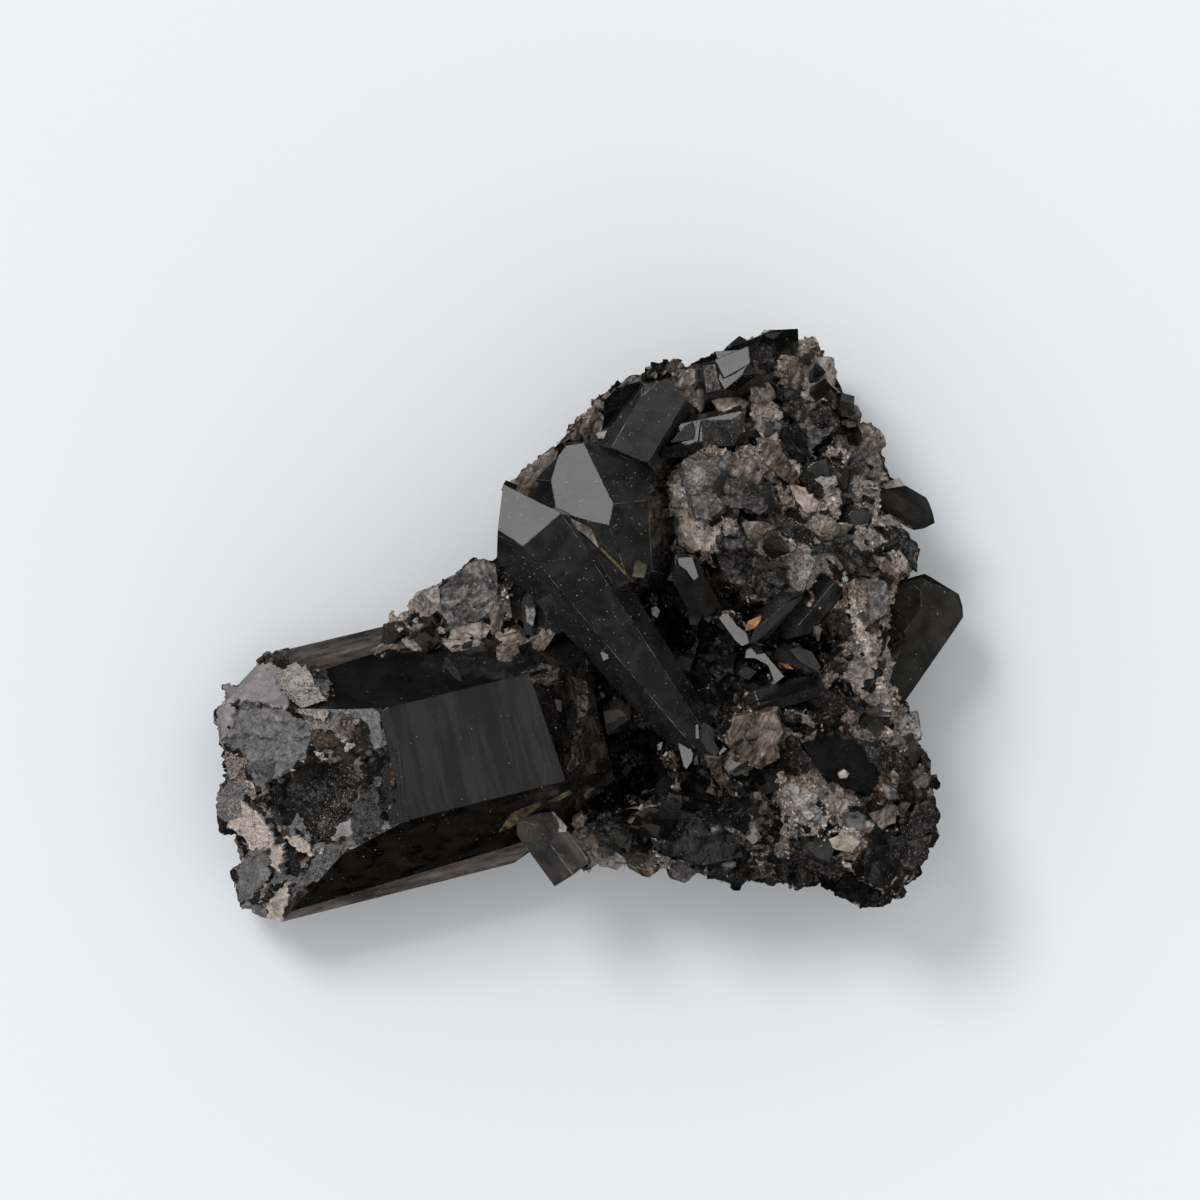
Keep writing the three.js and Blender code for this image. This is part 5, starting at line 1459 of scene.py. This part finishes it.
def upright(azimuth, elevation, roll):
    """The rotation of a crystal whose first prism face turns up, as the CAD builds it."""
    axis = leaning(azimuth, 90 - elevation)
    up = unit(np.array([0, 0, 1.0]) - axis * axis[2])
    side = np.cross(axis, up)
    c, s = math.cos(math.radians(roll)), math.sin(math.radians(roll))
    return np.stack([up * c + side * s, side * c - up * s, axis], axis=1)


def small_crystals():
    heap = Heap()
    for shape in SMALL_CRYSTALS:
        width = shape["width"] + 2 * OVERGROWTH
        depth = shape["depth"] + 2 * OVERGROWTH
        planes = quartz(width, depth, shape["length"])
        rotation = upright(shape["azimuth"], shape["elevation"], shape.get("roll", 0))
        tip = from_drawing(*shape["tip"]) + leaning(shape["azimuth"], 90 - shape["elevation"]) * OVERGROWTH
        heap.add(shape_inside(planes), tip, rotation, slot=shape.get("look", 0))
    heap.points = [inside_box(points, -0.1) for points in heap.points]
    obj = heap.piece("small_crystals", [SMOKY, BROWN, MILKY])
    worn_edges_and_highlight(obj, pale=False)
    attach(obj, "root")
    return obj


def druse(surface, crisp_plates, tree):
    """Little quartz prisms that line the hollows and dot the rock."""
    x, y = from_photo(690, 640)
    near_hollow = np.exp(-(np.hypot(surface.middles[:, 0] - x, surface.middles[:, 1] - y) / 14) ** 2)
    x, y = from_photo(640, 770)
    near_second = np.exp(-(np.hypot(surface.middles[:, 0] - x, surface.middles[:, 1] - y) / 11) ** 2)
    weight = (0.12 + near_hollow + near_second) * up_share(surface) * above_floor(surface) * surface.open
    heap = Heap()
    from_crystals = surface.distances(crisp_plates)
    for count, (least, most) in ((40, (1.4, 2.6)), (180, (0.5, 1.4))):
        places, normals = surface.places(count, weight * (from_crystals > CLEAR_OF_CRYSTALS * most))
        for place, normal in zip(places, normals):
            size = least + (most - least) * rng.random() ** 1.5
            if not stands_inside(tree, place, size):
                continue
            lean = turned(normal + rng.normal(0, 0.5, 3), rng.uniform(0, 6.28))
            stretch = size * np.array([1, rng.uniform(0.7, 1), rng.uniform(0.8, 1.5)])
            reach = lean[:, 2] * size * rng.uniform(0.7, 1.5)
            heap.add(PRISMS[rng.integers(len(PRISMS))], place + reach, lean, stretch, int(rng.random() < 0.2))
    heap.points = [inside_box(points, -0.1) for points in heap.points]
    obj = heap.piece("druse_crystals", [CLEAN, BROWN])
    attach(obj, "root")
    return obj


DUST = {"crystal_group_faces": 500, "large_crystal_faces": 110, "right_crystal_faces": 120}   # how many specks


def dust():
    """Pale specks of dust on the crystals' upper faces."""
    heap = Heap()
    for name, count in DUST.items():
        surface = Surface(bpy.data.objects[name])
        places, _ = surface.places(count, smooth(surface.normals[:, 2], 0.3, 0.5))
        for place in places:
            size = 0.02 + 0.048 * rng.random() ** 3
            heap.add(CHUNKS[rng.integers(len(CHUNKS))], place, turned(rng.normal(0, 1, 3), 0), size)
    obj = heap.piece("dust", [PALE_DUST])
    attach(obj, "root")


# The large crystal

TIP_FROM = -26          # mm, how far to the right the broken tip reaches
LARGE_FACES = [         # azimuth and tilt of its clean faces
    (0, 0), (0, 180), (103.7, 60), (103.2, 66), (103.7, 120), (102.3, 120), (-76.3, 60), (-76.3, 120), (-75.5, 120),
    (13.7, 90),
]
CLEAN_SLOT, TIP_SLOT, FRONT_SLOT, SLIVER_SLOT, END_SLOT, LOWER_SLOT = range(6)
SLIVER_LINE = [(288, 681), (400, 645)]      # pixels along the lower edge of the pale strip on its upper face, painted as glow through the thin edge
GLOW_LINE = [(290, 912), (520, 843)]        # pixels along the upper edge of the brown strip on its lower face, painted as glow through the thin edge
BREAK_LINE = [(288, 640), (290, 720)]       # pixels along the right edge of the break on its upper face
END_LINE = [(529, 672), (568, 786)]         # pixels along the left edge of the cracked end of its front face, painted dark there as shade where the face's sheen fades


def faces_up(face):
    return face.material_index == CLEAN_SLOT and face.normal.z > 0.2 and face.normal.y > 0.3


def faces_down(face):
    return face.material_index == CLEAN_SLOT and face.normal.z > 0.2 and face.normal.y < -0.3


def is_front(face):
    return face.material_index == FRONT_SLOT


def cut_off(shape, line, side, slot, wanted):
    """Gives the part of the wanted faces beyond a line of the photograph a look of its own."""
    start, end = (np.array([*from_photo(*pixel), 0.0]) * MM for pixel in line)
    across = unit(np.cross(end - start, [0, 0, 1.0])) * side

    faces = [face for face in shape.faces if wanted(face)]
    edges = [edge for edge in shape.edges if any(wanted(face) for face in edge.link_faces)]
    verts = [vert for vert in shape.verts if any(wanted(face) for face in vert.link_faces)]
    bmesh.ops.bisect_plane(shape, geom=[*faces, *edges, *verts], plane_co=start, plane_no=across)
    for face in shape.faces:
        if wanted(face) and np.dot(np.array(face.calc_center_median()) - start, across) > 0:
            face.material_index = slot


def tip_shape(points, normals):
    """How far the broken tip's points stand out, and the looks of its faces."""
    broad, _ = facet_heights(points, 3.4, 0.8, 61)
    middle, _ = facet_heights(points, 1.2, 0.42, 62)
    heights = broad
    shares = look_shares(points, [], TIP_ELSEWHERE, {})
    values = paint(points, shares, 71)
    jitter = np.stack([value_noise(points, 0.8, 64 + axis) - 0.5 for axis in range(3)], axis=1) * 0.9
    for looks, level, (azimuth, slope), outline in TIP_FACES.values():
        inside = inside_outline(points + jitter, outline) & (normals[:, 2] > -0.3)
        centre = np.mean([from_photo(*pixel) for pixel in outline], axis=0)
        away = points[inside, :2] - centre
        direction = leaning(azimuth, 90)[:2]
        heights[inside] = level - slope * (away @ direction) + 0.25 * broad[inside]
        for look in TIP_ELSEWHERE:
            values[look][inside] = looks.get(look, 0)
    rough = 1 - 0.8 * values["smooth"]
    heights = heights + (middle + (value_noise(points, 0.6, 63) - 0.5) * 0.22) * rough - 0.1
    return heights, values


def large_crystal():
    obj = node_copy("large_crystal", "large_crystal_faces")
    whole_faces(obj)
    shape = bmesh.new()
    shape.from_mesh(obj.data)
    known = [Vector(leaning(azimuth, tilt)) for azimuth, tilt in LARGE_FACES]
    for face in shape.faces:
        clean = any(face.normal.angle(other) < math.radians(3.5) for other in known)
        far = face.calc_center_median().x > TIP_FROM * MM
        face.material_index = CLEAN_SLOT if clean or far else TIP_SLOT
        if face.normal.z > 0.999:
            face.material_index = FRONT_SLOT
    cut_off(shape, BREAK_LINE, 1, TIP_SLOT, faces_up)
    cut_off(shape, SLIVER_LINE, -1, SLIVER_SLOT, faces_up)
    cut_off(shape, GLOW_LINE, 1, SLIVER_SLOT, faces_down)
    cut_off(shape, END_LINE, -1, END_SLOT, is_front)
    for face in shape.faces:
        if faces_down(face):
            face.material_index = LOWER_SLOT
    shape.to_mesh(obj.data)
    shape.free()
    inner = refine(obj, [TIP_SLOT], TIP_EDGE)
    mesh = obj.data
    points, normals = arrays_of(mesh)
    heights, values = tip_shape(points, normals)
    heights *= inner * smooth(points[:, 2], 0.3, 2.5)
    set_points(mesh, inside_box(points + normals * heights[:, None]))
    set_values(mesh, values)
    for material in (CLEAN, TIP, STRIATED_SHEEN, SLIVER_GLOW, CRACKED_END_SHADE, LOWER):
        mesh.materials.append(material)
    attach(obj, "root")
    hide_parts("large_crystal")
    return obj


LEDGES = 5
LEDGE_FROM = [(383, 768), (391, 824)]       # pixels of the two ends of the first ledge, beside the tip
LEDGE_TO = [(402, 742), (410, 820)]         # and of the last
LEDGE_SHARE = 0.5                           # of each step that its raised half takes


def ledges(tree):
    """Growth ledges across the left end of the large crystal's front face, as narrow bright and dark steps; the dark
    steps are painted shade.
    """
    heap = Heap()
    starts, ends = (np.array([from_photo(*pixel) for pixel in line]) for line in (LEDGE_FROM, LEDGE_TO))
    for step in range(LEDGES):
        # the raised half of each step takes the front face's quartz, the lower half a black face as painted shade
        for share, rise, slot in ((0, 0.3, 0), (LEDGE_SHARE, 0.12, 1)):
            near, far = (starts + (ends - starts) * (step + part) / LEDGES for part in (share, share + LEDGE_SHARE))
            corners = np.array([near[0], near[1], far[1], far[0]])
            level = height_below(tree, *corners.mean(axis=0)) or 0
            top = np.column_stack([corners, np.full(4, level + rise)])
            foot = np.column_stack([corners, np.full(4, level - 0.5)])
            sides = [[i, 4 + i, 4 + (i + 1) % 4, (i + 1) % 4] for i in range(4)]
            heap.add((np.vstack([top, foot]), [[0, 1, 2, 3], *sides, [7, 6, 5, 4]]), np.zeros(3), slot=slot)
    obj = heap.piece("growth_ledges", [STRIATED_SHEEN, BLACK])
    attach(obj, "root")


# The other crystals

LONE_CRYSTALS = {
    "top_crystal": (SMOKY, "smoky_quartz"),
    "pointing_crystal": (SMOKY, "smoky_quartz"),
    "edge_crystal": (SMOKY, "smoky_quartz"),
    "right_crystal": (DEEP_BROWN, "brown_quartz"),
    "bottom_crystal": (GREY_BROWN, "pale_quartz"),
    "crystal_group": (SMOKY, "smoky_quartz"),
}


# Crystals whose worn edges also carry the pale painted edge highlight
PALE_EDGES = ("crystal_group", "right_crystal", "bottom_crystal")


def lone_crystal(node):
    material, slot = LONE_CRYSTALS[node]
    obj = node_copy(node, node + "_faces")
    whole_faces(obj)
    obj.data.materials.append(material)
    worn_edges_and_highlight(obj, 0.1 if node == "crystal_group" else EDGE_WIDTH, pale=node in PALE_EDGES)
    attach(obj, "root")
    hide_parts(node)
    return obj


# Floor, light and camera

def floor():
    bpy.ops.mesh.primitive_plane_add(size=12, location=(0, 0, -0.02 * MM))
    obj = bpy.context.object
    obj.name = "floor"
    make = Nodes("pale floor")
    make.shade(base_color=(0.825, 0.842, 0.862, 1), roughness=1.0)
    make.shader.inputs["Specular IOR Level"].default_value = 0.0
    obj.data.materials.append(make.material)
    obj.visible_glossy = False


def aim(obj, direction):
    obj.rotation_euler = direction.to_track_quat("Z", "Y").to_euler()


def sun():
    lamp = bpy.data.lights.new("key", "SUN")
    lamp.energy = KEY_STRENGTH
    lamp.angle = KEY_SPREAD
    obj = bpy.data.objects.new("key", lamp)
    bpy.context.scene.collection.objects.link(obj)
    aim(obj, KEY_DIRECTION)
    obj.visible_glossy = False
    obj.visible_transmission = False


def card(name, azimuth, tilt, spread, radiance):
    """A lit card that only shows as a reflection in the crystals' faces."""
    distance = 2.0
    radius = distance * math.tan(math.radians(spread))
    lamp = bpy.data.lights.new(name, "AREA")
    lamp.shape = "DISK"
    lamp.size = 2 * radius
    lamp.energy = radiance * math.pi * math.pi * radius ** 2
    obj = bpy.data.objects.new(name, lamp)
    bpy.context.scene.collection.objects.link(obj)
    direction = Vector(leaning(azimuth, tilt))
    obj.location = direction * distance
    aim(obj, direction)
    obj.visible_camera = False
    obj.visible_diffuse = False


def world():
    made = bpy.data.worlds.new("studio")
    made.use_nodes = True
    background = made.node_tree.nodes["Background"]
    background.inputs["Color"].default_value = (0.97, 0.99, 1.0, 1)
    background.inputs["Strength"].default_value = FILL
    made.cycles_visibility.glossy = False
    bpy.context.scene.world = made


def camera():
    lens = bpy.data.cameras.new("camera")
    lens.lens = LENS
    lens.sensor_width = SENSOR
    lens.clip_end = 50
    width = FRAME_PIXELS * PIXEL * MM
    obj = bpy.data.objects.new("camera", lens)
    bpy.context.scene.collection.objects.link(obj)
    x, y = from_photo(FRAME_PIXELS / 2, FRAME_PIXELS / 2)
    obj.location = (x * MM, y * MM, REFERENCE_HEIGHT * MM + width * LENS / SENSOR)
    bpy.context.scene.camera = obj


def look():
    scene = bpy.context.scene
    scene.view_settings.view_transform = "Standard"
    scene.cycles.caustics_reflective = False
    scene.cycles.caustics_refractive = False


camera()
floor()
sun()
world()
card("window", 128, 35, 11, 3.4)
card("lamp", 100, 34, 6, 5)
card("ceiling", 0, 0, 24, 0.41)
card("spark", 150, 62, 3.5, 14)
look()

rock = rock_body()
standing = [large_crystal(), small_crystals()]
standing += [lone_crystal(node) for node in LONE_CRYSTALS]
surfaces = tree_of(rock, *standing)
rough_plates = read_plates(surfaces, ROUGH_FACES, ROUGH_DEPTH)
crisp_plates = read_plates(surfaces, CRISP_FACES, CRISP_DEPTH)
crystals = tree_of(*standing)
settle_rock(rock, rough_plates + crisp_plates, crystals)
rough_faces(rough_plates)
crisp_faces(crisp_plates)
ledges(surfaces)
rock_surface = Surface(rock, rough_plates + crisp_plates, crystals)
settled = tree_of(rock, *standing)
rock_blocks(rock_surface, crisp_plates, settled)
rock_grains(rock_surface)
druse(rock_surface, crisp_plates, settled)
dust()
for name in ("rock_body", "rock_faces", "rock_grains"):
    thin(name)

bpy.context.view_layer.update()
